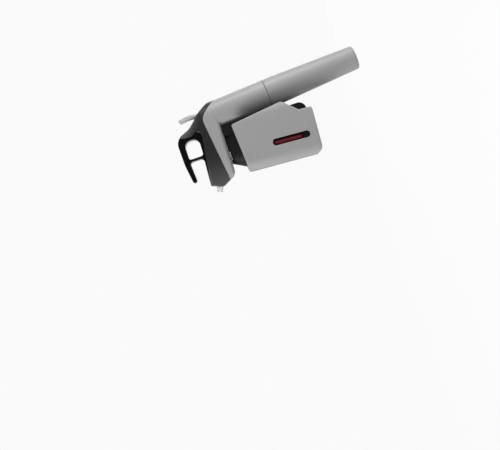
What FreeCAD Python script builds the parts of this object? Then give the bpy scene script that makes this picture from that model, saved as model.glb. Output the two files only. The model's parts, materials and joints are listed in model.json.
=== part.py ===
"""Hand-held argon-capsule wine preservation dispenser, as an assembly of separate solids.

Units are millimetres. The origin is on the bottle neck's axis, at the plane where the bottle's
lip seats. +Z runs up along the neck, the spout points towards -X and the capsule cup hangs on
the +X side. The dispenser is symmetric about the XZ plane, so "left" is -Y and "right" is +Y.
"""
import FreeCAD, Part
import math
import os

os.makedirs("parts", exist_ok=True)

# ------------------------------------------------------------------ clearances
RUN = 0.06                  # radial running fit of shafts and pins
FREE = 0.3                  # gap between parts that move past each other
LOOSE = 0.4                 # gap around the capsule and the cup
SEAM = 0.12                 # joint line between mouldings of one body
PARTING_GAP = 0.4           # shadow gap between the housing and its cover
TONGUE_INSET = 1.5          # outer wall to the housing's tongue, which closes that gap
TONGUE = 0.9
TONGUE_HEIGHT = 1.8
TONGUE_SPAN = (-24.3, 46.0)  # its ends along X
REST_GAP = 0.1              # gap between the leg and the block that it rests over
OVERSHOOT = 60.0            # how far cutting prisms run past what they cut
BLANK_HALF = 30.0           # half width of blanks and cutters drawn in the side view

# ------------------------------------------------------------------ tube, cup and capsule
TUBE_R = 16.5               # outer radius of the head's tube socket
TUBE_WALL = 2.2
TUBE_TILT = 4.3             # degrees that the tube leans away from the neck
TUBE_X = 49.0               # tube axis to neck axis, at height TUBE_Z
TUBE_Z = 20.0
SOCKET_DROP = 60.6          # from TUBE_Z down along the tube to the seam with the cup
CUP_LENGTH = 108.0
CUP_END_R = 13.3
CUP_WALL = 2.2
CUP_DOME = 1.2
CUP_EDGE_R = 3.0
CAPSULE_R = 11.0
CAPSULE_LENGTH = 88.5
CAPSULE_NECK_R = 4.3
CAPSULE_NECK_LENGTH = 7.5
CAPSULE_SHOULDER = 8.0
CAPSULE_WALL = 1.5
PAD_THICKNESS = 4.0
SEAL_THICKNESS = 1.2
PIN_R = 1.1                 # piercing pin
PIN_DEPTH = 2.8             # how far the pin reaches into the capsule

# ------------------------------------------------------------------ regulator and valve
REGULATOR_LENGTH = 36.0
REGULATOR_CAP = 4.0
COLLAR_WALL = 1.8           # collar that the cup screws on
COLLAR_LENGTH = 21.4        # how far the collar reaches past the seam
CHAMBER_R = 9.0
CHAMBER_DEPTH = 26.0
PISTON_LENGTH = 6.0
PISTON_GAP = 10.0           # spring space above the piston
GAS_HOLE_R = 0.8
VALVE_R = 8.0
VALVE_LENGTH = 12.0
SPOOL_R = 1.6
SPOOL_HEAD_R = 2.6
SPOOL_HEAD_LENGTH = 1.5
SPOOL_DOME = 0.6
VALVE_SPRING_WIRE = 0.5
VALVE_SPRING_SPACE = 6.9
VALVE_SPRING_TURNS = 5
REGULATOR_SPRING_R = 6.0
REGULATOR_SPRING_WIRE = 1.4
REGULATOR_SPRING_TURNS = 3
GAS_SOCKET = 2.5            # how far the gas tube reaches into the valve body and the hub
VALVE_TOP_DROP = 2.0        # valve body's top below TUBE_Z, along the tube

# ------------------------------------------------------------------ leg, spout and needle
LEG_UNDER = 20.3            # height of the leg's underside
LEG_END_HALF = 10.5         # half width of the leg at the spout
LEG_END_ROUND = 4.0
LEG_REACH = 30.3            # neck axis to the foremost point of the leg
LEG_FRONT = LEG_REACH - 5.2  # neck axis to the front end of the parting line
LEG_WALL = 2.5
LEG_EDGE = 4.0              # rounding along the leg's long lower edges
LEG_NOSE_R = 9.0
PARTING_Z = 28.0            # height of the parting line at the leg's front
PARTING_SLOPE = 7.15        # degrees
LEG_TOP = 49.0              # height of the leg's upper edge beside the web
LEG_TOP_RISE = 2.0          # how much the upper edge rises towards the spout
CAVITY_HALF = 8.4           # half width of the space inside the leg
NEEDLE_R = 0.9
NEEDLE_BORE_R = 0.5
NEEDLE_LENGTH = 82.0
NEEDLE_TOP = 30.0
HUB_R = 4.5
HUB_SEAT_R = 4.4
HUB_FLANGE_R = 6.2
HUB_FLANGE = 3.0
HUB_HEIGHT = 36.0           # height of the hub's top
HUB_PROUD = 1.2             # how far the hub shows below the leg
SPOUT_TILT = 18.3           # degrees above horizontal
SPOUT_R = 3.2
SPOUT_WALL = 0.8
SPOUT_Z = 32.1              # height where the spout's axis crosses the needle's
SPOUT_PROUD = 6.0
SPOUT_BODY_R = 3.6          # spout tube inside the cover
SPOUT_COLLAR = 0.8          # how far that thicker part shows outside
SPOUT_BASE = (LEG_REACH - 1.45) / math.cos(math.radians(SPOUT_TILT))  # to the leg's end face
GAS_TUBE_R = 1.5
GAS_TUBE_Z = 30.5
GAS_TUBE_BEND = 3.0
GAS_DROP_X = 36.8

# ------------------------------------------------------------------ handle
HANDLE_TOP = 72.2
HANDLE_BACK = 35.0          # x of the handle's upper rear corner
HOOK_TIP = 17.0             # neck axis to the hook's tip
BAR = 6.2                   # thickness of the hook bar
WEB_X = 6.7
WEB = 3.0
WINDOW_LENGTH = 20.3
WINDOW_LOW = 47.7
WINDOW_HIGH = 64.8
HANDLE_HALF = 9.6           # half width of the hook's end
HANDLE_HALF_BACK = 11.5     # half width of the handle at its rear
HANDLE_EDGE = 2.2           # rounding along the handle's outer edges
WEB_EDGE = 1.4              # rounding along the window, the web and the hook's inner edge
INLAY_BAND = 3.7            # width of the black rim around the window
COVER_EDGE = 2.0            # rounding along the cover's edges
COVER_LIP = 0.7             # thickness of the cover's rear edge

# ------------------------------------------------------------------ trigger
PIVOT_X = 53.2
PIVOT_Z = 27.0
PIVOT_R = 1.5
TRIGGER_HUB_R = 3.6
TRIGGER_HALF = 7.6
TRIGGER_HEIGHT = 36.4       # pivot to the blade's tip
TRIGGER_EDGE = 1.8
TRIGGER_ARM = 3.0

# ------------------------------------------------------------------ clamp base and rail
BLOCK_TOP = LEG_UNDER - REST_GAP
HUB_NOTCH = (-6.8, 6.0)     # ends along X of the notch that the hub drops into
HUB_NOTCH_DEPTH = 1.3
HUB_NOTCH_WALL = 1.6        # wall left across the notch, fore and aft of the hub
BLOCK_FRONT_R = 9.2
BLOCK_BACK = 21.8
BLOCK_FLARE_Z = 2.5         # height where the flare ends
BLOCK_FLARE_R = 18.8
SOCKET_R = 15.6             # lip socket
SOCKET_DEPTH = 9.0
LIP_PAD = 2.5
BUSH_R = 3.0
BUSH_LENGTH = 11.0
COLUMN_FRONT = 22.0
COLUMN_BACK = 32.4
COLUMN_HALF = 13.0
COLUMN_TOP = BLOCK_TOP
COLUMN_BOTTOM = -76.6
COLUMN_EDGE = 8.2
RAIL_FLANGE_HALF = 8.0
RAIL_FLANGE = 3.2
RAIL_WEB_HALF = 4.6
RAIL_FRONT = 25.0
RAIL_BACK = 31.6
RAIL_BOTTOM = -71.0
RAIL_FOOT = 3.0
SCREW_R = 1.25
SCREW_HEAD_R = 2.3
SCREW_HEAD = 1.6
COVER_SCREW = 14.0
RAIL_SCREW_BITE = 1.6       # how far the rail's screws reach below its foot
PIN_REACH = 12.5            # half length of the trigger's pin

# ------------------------------------------------------------------ clamp arms
NECK_R = 14.3               # bottle neck
NECK_ROOM = 5.5             # space round the neck inside the arms' shells
ARM_WALL = 3.0
ARM_FRONT = 23.6            # neck axis to the arm's front face, at the lip's plane
ARM_LEAN = 0.056            # how much further forward the arm is per mm down
ARM_HALF = 29.0             # half width at the arm's corners
ARM_CROWN = 1.3
ARM_CROWN_X = 6.0
ARM_FRONT_ROUND = 12.0
ARM_CROWN_ROUND = 150.0
ARM_REAR_X = 32.0           # rear corner of the arm's plan
ARM_REAR_ROUND = 14.0
ARM_REAR_TAPER = 8.5        # how far the side runs in behind that corner
ARM_REAR_TAPER_X = 47.0
ARM_BLANK = (-90.0, 14.0)   # heights between which the arm's plan is lofted
ARM_GAP_HALF = 6.0          # half of the gap between the arms at the front
ARM_TOP = 4.8               # front top corner
ARM_TOP_REAR_X = 30.9
ARM_BOTTOM = -79.0          # front lower corner
ARM_HEEL_X = 23.6
ARM_HEEL_TOP = -67.0
ARM_TAB_X = 38.6
ARM_TAB_Z = -51.1
ARM_EDGE = 2.2
PIN_X = 27.0                # hinge pins
PIN_Y = 19.0
HINGE_PIN_R = 1.75
KNUCKLE_R = 4.6
KNUCKLE = 7.6
EAR = 6.0
EAR_TOP = 0.0
EAR_LOW = -46.0
ARM_SPRING_WIRE = 0.9
ARM_SPRING_TURNS = 8
GRIP_THICK = 3.1
GRIP_ANGLE = 42.0           # degrees each side of the Y axis
LINER_PLATE = 2.4           # liner behind the pad
LINER_RIM = 2.2             # liner round the slot
LINER_RIB = 2.4
LINER_RIB_ZS = (-16.0, -40.0, -60.0)
BOSS_R = 3.4
ARM_SCREW_SINK = 4.0        # depth of the arm screws' heads below the liner's outer face
ARM_SCREW_BITE = 1.4        # how far they reach past that face
GRIP_TOP = -14.0
GRIP_BOTTOM = -74.0
NECK_REST_HALF = 7.0
SLOT_X = -0.9               # slot's centre line at the lip's plane
SLOT_HALF = 3.8
SLOT_TOP = -28.5
SLOT_BOTTOM = -70.8
SLOT_BLACK = 7.5            # length of the slot that shows the black liner
SLOT_DISH_R = 20.0          # shallow dishes that the slot's ends run out in
SLOT_DISH_DEPTH = 0.8


# ------------------------------------------------------------------ geometry helpers
def vec(x, y, z):
    return FreeCAD.Vector(x, y, z)


PLANES = {
    "xz": lambda a, b: vec(a, 0, b),
    "xy": lambda a, b: vec(a, b, 0),
    "yz": lambda a, b: vec(0, a, b),
}
NORMALS = {"xz": vec(0, 1, 0), "xy": vec(0, 0, 1), "yz": vec(1, 0, 0)}


def rounded_wire(corners, plane="xz"):
    """Closed wire through (a, b, radius) corners, each rounded with a tangent arc."""
    place = PLANES[plane]
    points = [place(a, b) for a, b, _ in corners]
    count = len(points)
    arcs = []
    for i, (_, _, radius) in enumerate(corners):
        here = points[i]
        back = (points[i - 1] - here).normalize()
        ahead = (points[(i + 1) % count] - here).normalize()
        half = back.getAngle(ahead) / 2
        if radius <= 0 or half > math.pi / 2 - 1e-4:
            arcs.append((here, None, here))
            continue
        reach = radius / math.tan(half)
        middle = (back + ahead).normalize()
        bulge = radius / math.sin(half) - radius
        arcs.append((here + back * reach, here + middle * bulge, here + ahead * reach))
    edges = []
    for i, (start, middle, end) in enumerate(arcs):
        if middle is not None:
            edges.append(Part.Arc(start, middle, end).toShape())
        following = arcs[(i + 1) % count][0]
        if end.distanceToPoint(following) > 1e-6:
            edges.append(Part.LineSegment(end, following).toShape())
    return Part.Wire(edges)


def prism(corners, plane, low, high):
    """Solid between two offsets along the plane's normal, with a rounded outline."""
    face = Part.Face(rounded_wire(corners, plane))
    face.translate(NORMALS[plane] * low)
    return face.extrude(NORMALS[plane] * (high - low))


def turned(profile):
    """Solid of revolution about Z of a closed (radius, z, rounding) profile."""
    face = Part.Face(rounded_wire(profile, "xz"))
    return face.revolve(vec(0, 0, 0), vec(0, 0, 1), 360)


def rod(radius, start, end):
    axis = end - start
    return Part.makeCylinder(radius, axis.Length, start, axis)


def ring(outer, inner, low, high):
    return turned([(inner, low, 0), (outer, low, 0), (outer, high, 0), (inner, high, 0)])


def box(x_range, y_range, z_range):
    low = vec(x_range[0], y_range[0], z_range[0])
    size = vec(x_range[1], y_range[1], z_range[1]) - low
    return Part.makeBox(size.x, size.y, size.z, low)


def belt(circles):
    """Convex wire around (x, y, radius) circles that are listed anticlockwise."""
    count = len(circles)
    spans = []
    for i, (x, y, radius) in enumerate(circles):
        next_x, next_y, next_radius = circles[(i + 1) % count]
        along = vec(next_x - x, next_y - y, 0)
        gap = along.Length
        along.normalize()
        lean = (radius - next_radius) / gap
        normal = along * lean + vec(along.y, -along.x, 0) * math.sqrt(1 - lean * lean)
        spans.append((vec(x, y, 0) + normal * radius,
                      vec(next_x, next_y, 0) + normal * next_radius, normal))
    edges = []
    for i, (start, end, normal) in enumerate(spans):
        edges.append(Part.LineSegment(start, end).toShape())
        x, y, radius = circles[(i + 1) % count]
        following_start, _, following_normal = spans[(i + 1) % count]
        turn = math.atan2(normal.cross(following_normal).z, normal.dot(following_normal))
        middle_angle = math.atan2(normal.y, normal.x) + (turn % (2 * math.pi)) / 2
        middle = vec(x + radius * math.cos(middle_angle), y + radius * math.sin(middle_angle), 0)
        edges.append(Part.Arc(end, middle, following_start).toShape())
    return Part.Wire(edges)


def swept_tube(points, radius, bend):
    """Round bar along a polyline whose inner corners are rounded with the bend radius."""
    edges = []
    start = points[0]
    for before, here, after in zip(points, points[1:], points[2:]):
        back = (before - here).normalize()
        ahead = (after - here).normalize()
        half = back.getAngle(ahead) / 2
        reach = bend / math.tan(half)
        middle = here + (back + ahead).normalize() * (bend / math.sin(half) - bend)
        edges.append(Part.LineSegment(start, here + back * reach).toShape())
        edges.append(Part.Arc(here + back * reach, middle, here + ahead * reach).toShape())
        start = here + ahead * reach
    edges.append(Part.LineSegment(start, points[-1]).toShape())
    path = Part.Wire(edges)
    section = Part.Wire(Part.makeCircle(radius, points[0], points[1] - points[0]))
    return path.makePipeShell([section], True, False)


def coil(radius, wire, low, high, turns):
    """Compression or torsion spring about Z between two heights, swept turn by turn."""
    pitch = (high - low - wire) / turns
    first = low + wire / 2
    edges = []
    for turn in range(turns):
        helix = Part.makeHelix(pitch, pitch, radius)
        helix.translate(vec(0, 0, first + pitch * turn))
        edges += helix.Edges
    section = Part.Wire(Part.makeCircle(wire / 2, vec(radius, 0, first), vec(0, 1, 0)))
    return Part.Wire(edges).makePipeShell([section], True, True)


def soften(shape, wire, radius, wanted):
    """Rounds the edges that lie on a side view outline and that the filter wants."""
    picked = []
    for edge in shape.Edges:
        middle = edge.valueAt((edge.FirstParameter + edge.LastParameter) / 2)
        if edge.Degenerated:
            continue
        tangent = edge.tangentAt((edge.FirstParameter + edge.LastParameter) / 2)
        if abs(tangent.y) > 0.9 or not wanted(middle):
            continue
        if wire.distToShape(Part.Vertex(middle.x, 0, middle.z))[0] < 0.01:
            picked.append(edge)
    return shape.makeFillet(radius, picked)


def on_tube(shape):
    """Moves a shape from the tube's own frame, with Z up its axis, to the dispenser's."""
    moved = shape.copy()
    moved.rotate(vec(0, 0, 0), vec(0, 1, 0), -TUBE_TILT)
    moved.translate(vec(TUBE_X, 0, TUBE_Z))
    return moved


def on_spout(shape):
    """Moves a shape whose Z is the way out of the spout to the spout's axis."""
    moved = shape.copy()
    moved.rotate(vec(0, 0, 0), vec(0, 1, 0), SPOUT_TILT - 90)
    moved.translate(vec(0, 0, SPOUT_Z))
    return moved


def mirrored(shape):
    return shape.mirror(vec(0, 0, 0), vec(0, 1, 0))


def fused(*shapes):
    result = shapes[0]
    for shape in shapes[1:]:
        result = result.fuse(shape)
    return result.removeSplitter()


def save(name, *solids):
    shape = solids[0] if len(solids) == 1 else Part.makeCompound(list(solids))
    if not shape.isValid():
        raise ValueError(name + " is not a valid shape")
    shape.exportStep("parts/" + name + ".step")
    print(f"{name:22s} solids {len(shape.Solids)}  volume {shape.Volume:9.1f}")


# ------------------------------------------------------------------ places worked out
SEAM_T = -SOCKET_DROP
BORE_R = TUBE_R - TUBE_WALL
REGULATOR_R = BORE_R - SEAM
REGULATOR_TOP = -(VALVE_TOP_DROP + VALVE_LENGTH)
REGULATOR_LOW = REGULATOR_TOP - REGULATOR_LENGTH
CUP_BORE_R = CAPSULE_R + LOOSE
COLLAR_BORE_R = CAPSULE_R + LOOSE
COLLAR_R = COLLAR_BORE_R + COLLAR_WALL
COLLAR_END = SEAM_T - COLLAR_LENGTH
CUP_TOP = SEAM_T - LOOSE
CUP_END = CUP_TOP - CUP_LENGTH
CUP_FLOOR = CUP_END + CUP_WALL
CAPSULE_LOW = CUP_FLOOR + PAD_THICKNESS + SEAM
CAPSULE_TOP = CAPSULE_LOW + CAPSULE_LENGTH
SEAL_TOP = CAPSULE_TOP + SEAM + SEAL_THICKNESS
CHAMBER_TOP = REGULATOR_TOP - REGULATOR_CAP
CHAMBER_LOW = CHAMBER_TOP - CHAMBER_DEPTH
PISTON_TOP = CHAMBER_TOP - PISTON_GAP
VALVE_TOP = -VALVE_TOP_DROP
SPOOL_TOP = VALVE_TOP + VALVE_SPRING_SPACE + SPOOL_HEAD_LENGTH
SLOPE = math.tan(math.radians(PARTING_SLOPE))
TUBE_BACK = TUBE_X + TUBE_R


def parting(x):
    """Height of the straight parting line between housing and cover."""
    return PARTING_Z + (x + LEG_FRONT) * SLOPE


SHOULDER_X = TUBE_X + 0.2
SHOULDER = (SHOULDER_X, parting(SHOULDER_X), 12.0)
SHOULDER_BACK = (TUBE_BACK - 0.7, TUBE_Z, 9.0)
SHOULDER_END = (TUBE_BACK - 0.1, TUBE_Z - 3.2, 0)
NOSE_LOW_X = -LEG_FRONT + (PARTING_Z - LEG_UNDER) * 0.52
LEG_TIP_TOP = LEG_TOP + LEG_TOP_RISE
WINDOW_BACK = WEB_X + WEB + WINDOW_LENGTH
BUSH_TOP = BLOCK_TOP - HUB_NOTCH_DEPTH
ARM_TOP_REAR = ARM_TOP + ARM_LEAN * (ARM_FRONT + ARM_TOP_REAR_X) + 0.9
ARM_HEEL_LOW = ARM_BOTTOM - ARM_LEAN * (ARM_FRONT + ARM_HEEL_X)
TAB_SLOPE = (ARM_TAB_Z - ARM_HEEL_TOP) / (ARM_TAB_X - ARM_HEEL_X)
LINER_R = NECK_R + GRIP_THICK
LINER_OUT = ARM_HALF - ARM_WALL - 0.6


def leg_outline():
    """Side view of the grey part of the head, without the tube below the leg."""
    return [
        (-LEG_FRONT, PARTING_Z, 0),
        (NOSE_LOW_X, LEG_UNDER, LEG_NOSE_R),
        (TUBE_X + 1, LEG_UNDER, 0),
        (TUBE_X + 1, SHOULDER_END[1], 0),
        SHOULDER_END,
        SHOULDER_BACK,
        SHOULDER,
    ]


def cover_outline(gap):
    """Side view of all that lies above the parting line, hook and handle included."""
    back = TUBE_BACK + COVER_LIP
    return [
        (back, SHOULDER_END[1], 0),
        (back - 0.4, TUBE_Z + 5.2, 12),
        (TUBE_X + 6.8, LEG_TOP - 9.2, 60),
        (HANDLE_BACK + 7.4, LEG_TOP + 5.6, 18),
        (HANDLE_BACK, HANDLE_TOP, 13),
        (HANDLE_BACK - 30, HANDLE_TOP - 0.7, 80),
        (-HOOK_TIP, HANDLE_TOP - 3.9, 2.3),
        (-HOOK_TIP + 1, HANDLE_TOP - 3.7 - BAR + 1.3, 2.3),
        (WEB_X, HANDLE_TOP - 0.9 - BAR, 3.2),
        (WEB_X, LEG_TOP - 0.1, 4.0),
        (-LEG_FRONT + 0.2, LEG_TIP_TOP, 1.0),
        (-LEG_REACH, PARTING_Z + 10, 6.0),
        (-LEG_FRONT, PARTING_Z + gap, 0),
        (SHOULDER[0], SHOULDER[1] + gap, SHOULDER[2]),
        (SHOULDER_BACK[0] + gap, SHOULDER_BACK[1] + gap, SHOULDER_BACK[2]),
        (SHOULDER_END[0] + gap, SHOULDER_END[1], 0),
    ]


def window_outline():
    return [
        (WEB_X + WEB, WINDOW_LOW + 0.5, 3.2),
        (WINDOW_BACK, WINDOW_LOW, 7.5),
        (WINDOW_BACK, WINDOW_HIGH, 7.5),
        (WEB_X + WEB, WINDOW_HIGH, 2.4),
    ]


def head_envelope(low, high, shrink=0.0):
    """Upright teardrop that the tube, the leg and the cover share, in the tube's frame."""
    end_x = -(TUBE_X + LEG_REACH) + LEG_END_ROUND
    end_y = LEG_END_HALF - LEG_END_ROUND
    circles = [
        (0, 0, TUBE_R - shrink),
        (end_x, end_y, LEG_END_ROUND - shrink),
        (end_x, -end_y, LEG_END_ROUND - shrink),
    ]
    face = Part.Face(belt(circles))
    face.translate(vec(0, 0, low))
    return on_tube(face.extrude(vec(0, 0, high - low)))


# ------------------------------------------------------------------ head
def gas_path():
    start = on_tube(Part.Vertex(GAS_SOCKET - VALVE_R, 0, VALVE_TOP - VALVE_LENGTH / 2)).Point
    return [
        start,
        vec(GAS_DROP_X, 0, start.z),
        vec(GAS_DROP_X, 0, GAS_TUBE_Z),
        vec(HUB_R - GAS_SOCKET, 0, GAS_TUBE_Z),
    ]


def head_screw_places():
    return [(14.0, side * 6.6) for side in (-1, 1)]


def rail_screw_places():
    return [((RAIL_FRONT + RAIL_BACK) / 2, side * 6.0) for side in (-1, 1)]


def above_parting():
    """All space above the parting line and the shoulder."""
    front = -LEG_REACH - OVERSHOOT
    back = TUBE_X + OVERSHOOT
    top = HANDLE_TOP + OVERSHOOT
    return prism([
        (front, parting(front), 0), SHOULDER, SHOULDER_BACK, SHOULDER_END,
        (back, SHOULDER_END[1], 0), (back, top, 0), (front, top, 0),
    ], "xz", -BLANK_HALF, BLANK_HALF)


def tongue_shape(gap):
    """Tongue along both sides of the parting line, grown by a gap for the cover's groove."""
    inset = TONGUE_INSET - gap
    low, high = TONGUE_SPAN
    strip = head_envelope(-12, 60, inset).cut(head_envelope(-13, 61, inset + TONGUE + 2 * gap))
    strip = strip.common(box((low - gap, high + gap), (-BLANK_HALF, BLANK_HALF), (0, HANDLE_TOP)))
    above = above_parting()
    root = placed(above, vec(0, 0, -1))
    return strip.common(root).cut(placed(above, vec(0, 0, TONGUE_HEIGHT + gap)))


def make_housing():
    leg = head_envelope(-8, 40).common(prism(leg_outline(), "xz", -BLANK_HALF, BLANK_HALF))
    leg = soften(leg, rounded_wire(leg_outline()), LEG_EDGE,
                 lambda p: p.z < parting(p.x) - 0.05 and p.x < TUBE_X - TUBE_R)
    socket = on_tube(Part.makeCylinder(TUBE_R, SOCKET_DROP + 20, vec(0, 0, SEAM_T)))
    above = above_parting()
    body = fused(leg, socket.cut(above))
    bore = Part.makeCylinder(BORE_R, REGULATOR_TOP - SEAM_T + 1, vec(0, 0, SEAM_T - 1))
    valve_bore = Part.makeCylinder(VALVE_R + SEAM, VALVE_LENGTH + 1, vec(0, 0, REGULATOR_TOP - 1))
    spring_bore = Part.makeCylinder(SPOOL_HEAD_R + 1.4, 20, vec(0, 0, VALVE_TOP - 1))
    body = body.cut(on_tube(fused(bore, valve_bore, spring_bore)))
    cavity = box((-15, GAS_DROP_X + GAS_TUBE_R + 0.5), (-CAVITY_HALF, CAVITY_HALF),
                 (LEG_UNDER + LEG_WALL, HANDLE_TOP))
    trigger_slot = box((PIVOT_X - 8.5, PIVOT_X + TRIGGER_HUB_R + 1.6),
                       (-TRIGGER_HALF - FREE, TRIGGER_HALF + FREE),
                       (PIVOT_Z - TRIGGER_HUB_R - 0.5, HANDLE_TOP))
    body = body.cut(cavity).cut(trigger_slot)
    body = body.cut(make_trigger_pin())
    path = gas_path()
    drop = rod(GAS_TUBE_R + 0.5, path[1] - vec(0, 0, 2.5), path[2])
    inlet = rod(GAS_TUBE_R + 0.5, path[0] + vec(2, 0, 0), path[1])
    body = body.cut(drop).cut(inlet)
    body = body.cut(rod(HUB_SEAT_R, vec(0, 0, LEG_UNDER - 5), vec(0, 0, LEG_UNDER + 5)))
    body = body.cut(rail_shape(LEG_UNDER - 5, LEG_UNDER + LEG_WALL + 1, 0.0))
    for x, y in head_screw_places():
        boss = rod(BOSS_R, vec(x, y, LEG_UNDER + 1), vec(x, y, parting(x) + 3))
        body = body.fuse(boss.cut(above))
        body = body.cut(rod(SCREW_R, vec(x, y, LEG_UNDER - 1), vec(x, y, HANDLE_TOP)))
        body = body.cut(rod(SCREW_HEAD_R + 0.2, vec(x, y, LEG_UNDER - 1),
                            vec(x, y, LEG_UNDER + SCREW_HEAD + 0.2)))
    for x, y in rail_screw_places():
        body = body.cut(rod(SCREW_R, vec(x, y, LEG_UNDER + 0.6), vec(x, y, LEG_UNDER + 5)))
    return body.fuse(tongue_shape(0)).removeSplitter()


def cover_body_outline(gap):
    """Side view of the wide part of the cover, which closes the leg and the shoulder."""
    corners = cover_outline(gap)
    crease = (TUBE_X + 2.6, LEG_TOP - 4.8, 0)
    return corners[:3] + [
        crease,
        (WINDOW_BACK + 7.5, LEG_TOP + 0.2, 2.5),
        (WINDOW_BACK + 3.2, WINDOW_LOW - INLAY_BAND - 1.1, 5.0),
    ] + corners[10:]


def inlay_zone(gap):
    """Side view region that holds the black inlay: hook, window rim and leg edge."""
    _, low, tip = cover_body_outline(0)[4:7]
    slope = (low[1] - tip[1]) / (low[0] - tip[0])
    front = -LEG_REACH - OVERSHOOT
    return [
        (front, tip[1] + slope * (front - tip[0]) + gap, 0),
        (low[0], low[1] + gap, 5.0),
        (WINDOW_BACK + 7.5 - gap, LEG_TOP + 0.2 + gap, 2.0),
        (WINDOW_BACK + INLAY_BAND - gap, LEG_TOP + 4.5, 4.0),
        (WINDOW_BACK + INLAY_BAND - gap, WINDOW_HIGH - 3, 12.0),
        (HANDLE_BACK + 1 - gap, HANDLE_TOP - 2.5, 0),
        (HANDLE_BACK + 1 - gap, HANDLE_TOP + OVERSHOOT, 0),
        (front, HANDLE_TOP + OVERSHOOT, 0),
    ]


def make_cover_and_inlay():
    outer = cover_outline(PARTING_GAP)
    root = (TUBE_X + 6.8, LEG_TOP - 9.2, 0)
    foot_z = parting(TUBE_X) + 2
    foot = [(-LEG_FRONT + 4, LEG_TOP + LEG_TOP_RISE * 0.87, 0), (-LEG_FRONT + 4, foot_z, 0),
            (TUBE_X, foot_z, 0)]
    outline = [root] + outer[3:10] + foot
    plan = [(TUBE_X + 8, -HANDLE_HALF_BACK, 0), (TUBE_X + 8, HANDLE_HALF_BACK, 0),
            (-LEG_REACH, HANDLE_HALF, 0), (-LEG_REACH, -HANDLE_HALF, 0)]
    handle = prism(outline, "xz", -BLANK_HALF, BLANK_HALF).common(prism(plan, "xy", 0, 90))
    handle = handle.cut(prism(window_outline(), "xz", -BLANK_HALF, BLANK_HALF))
    edge_wire = Part.makeCompound([rounded_wire(outline), rounded_wire(window_outline())])
    window = rounded_wire(window_outline())

    def inner(p):
        in_window = window.distToShape(Part.Vertex(p.x, 0, p.z))[0] < 0.01
        return in_window or p.x < WEB_X + 1.5 and p.z < HANDLE_TOP - BAR + 0.5

    def above_leg(p):
        return p.z > LEG_TOP - 3 and p.x > 3.5 - LEG_FRONT or p.z > LEG_TOP + 5

    handle = soften(handle, edge_wire, HANDLE_EDGE, lambda p: above_leg(p) and not inner(p))
    handle = soften(handle, edge_wire, WEB_EDGE, lambda p: above_leg(p) and inner(p))
    inlay = handle.common(prism(inlay_zone(SEAM), "xz", -BLANK_HALF, BLANK_HALF))
    handle = handle.cut(prism(inlay_zone(0), "xz", -BLANK_HALF, BLANK_HALF))
    body_outline = cover_body_outline(PARTING_GAP)
    body = prism(body_outline, "xz", -BLANK_HALF, BLANK_HALF).common(head_envelope(-12, 60))
    body = soften(body, rounded_wire(body_outline), COVER_EDGE,
                  lambda p: p.z > parting(p.x) + 1 and p.x < TUBE_X + 2)
    return body, handle, inlay


def rail_shape(low, high, gap):
    """T section of the slide rail, grown by a gap for the channel that it runs in."""
    flange = box((RAIL_FRONT - gap, RAIL_FRONT + RAIL_FLANGE + gap),
                 (-RAIL_FLANGE_HALF - gap, RAIL_FLANGE_HALF + gap), (low, high))
    web = box((RAIL_FRONT, RAIL_BACK + gap), (-RAIL_WEB_HALF - gap, RAIL_WEB_HALF + gap),
              (low, high))
    return flange.fuse(web)


# ------------------------------------------------------------------ head: inner pieces
def cover_pocket():
    """Space inside the cover, above the leg's own."""
    roof = LEG_TOP - 6.5
    side = prism([
        (-LEG_REACH + 5, PARTING_Z - 4, 0),
        (-LEG_REACH + 4, PARTING_Z + 9, 3),
        (-LEG_FRONT + 4, roof + 1.5, 3),
        (WINDOW_BACK + 8, roof - 2.5, 3),
        (WINDOW_BACK + 10, PARTING_Z - 4, 0),
    ], "xz", -CAVITY_HALF, CAVITY_HALF)
    slot = prism([
        (PIVOT_X - 8.5, PARTING_Z - 8, 0),
        (PIVOT_X - 8.5, PIVOT_Z + 9, 3),
        (PIVOT_X - 6.0, HANDLE_TOP, 0),
        (PIVOT_X + 12, HANDLE_TOP, 0),
        (PIVOT_X + TRIGGER_HUB_R + 1.6, PIVOT_Z + 8, 3),
        (PIVOT_X + TRIGGER_HUB_R + 1.6, PARTING_Z - 8, 0),
    ], "xz", -TRIGGER_HALF - FREE, TRIGGER_HALF + FREE)
    return fused(side, slot)


def make_cover(body, handle):
    exit_hole = on_spout(Part.makeCylinder(SPOUT_BODY_R, 60))
    groove = on_spout(Part.makeCylinder(SPOUT_BODY_R + 1.3, 4.0, vec(0, 0, SPOUT_BASE - 7)))
    zone = prism(cover_body_outline(SEAM), "xz", -BLANK_HALF, BLANK_HALF)
    shell = fused(body, handle).cut(cover_pocket())
    for x, y in head_screw_places():
        boss = rod(BOSS_R, vec(x, y, LEG_UNDER), vec(x, y, LEG_TOP - 5)).common(zone)
        shell = shell.fuse(boss)
        shell = shell.cut(rod(SCREW_R, vec(x, y, LEG_UNDER), vec(x, y, LEG_UNDER + 16)))
    return shell.cut(exit_hole).cut(groove).cut(tongue_shape(SEAM)).removeSplitter()


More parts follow.
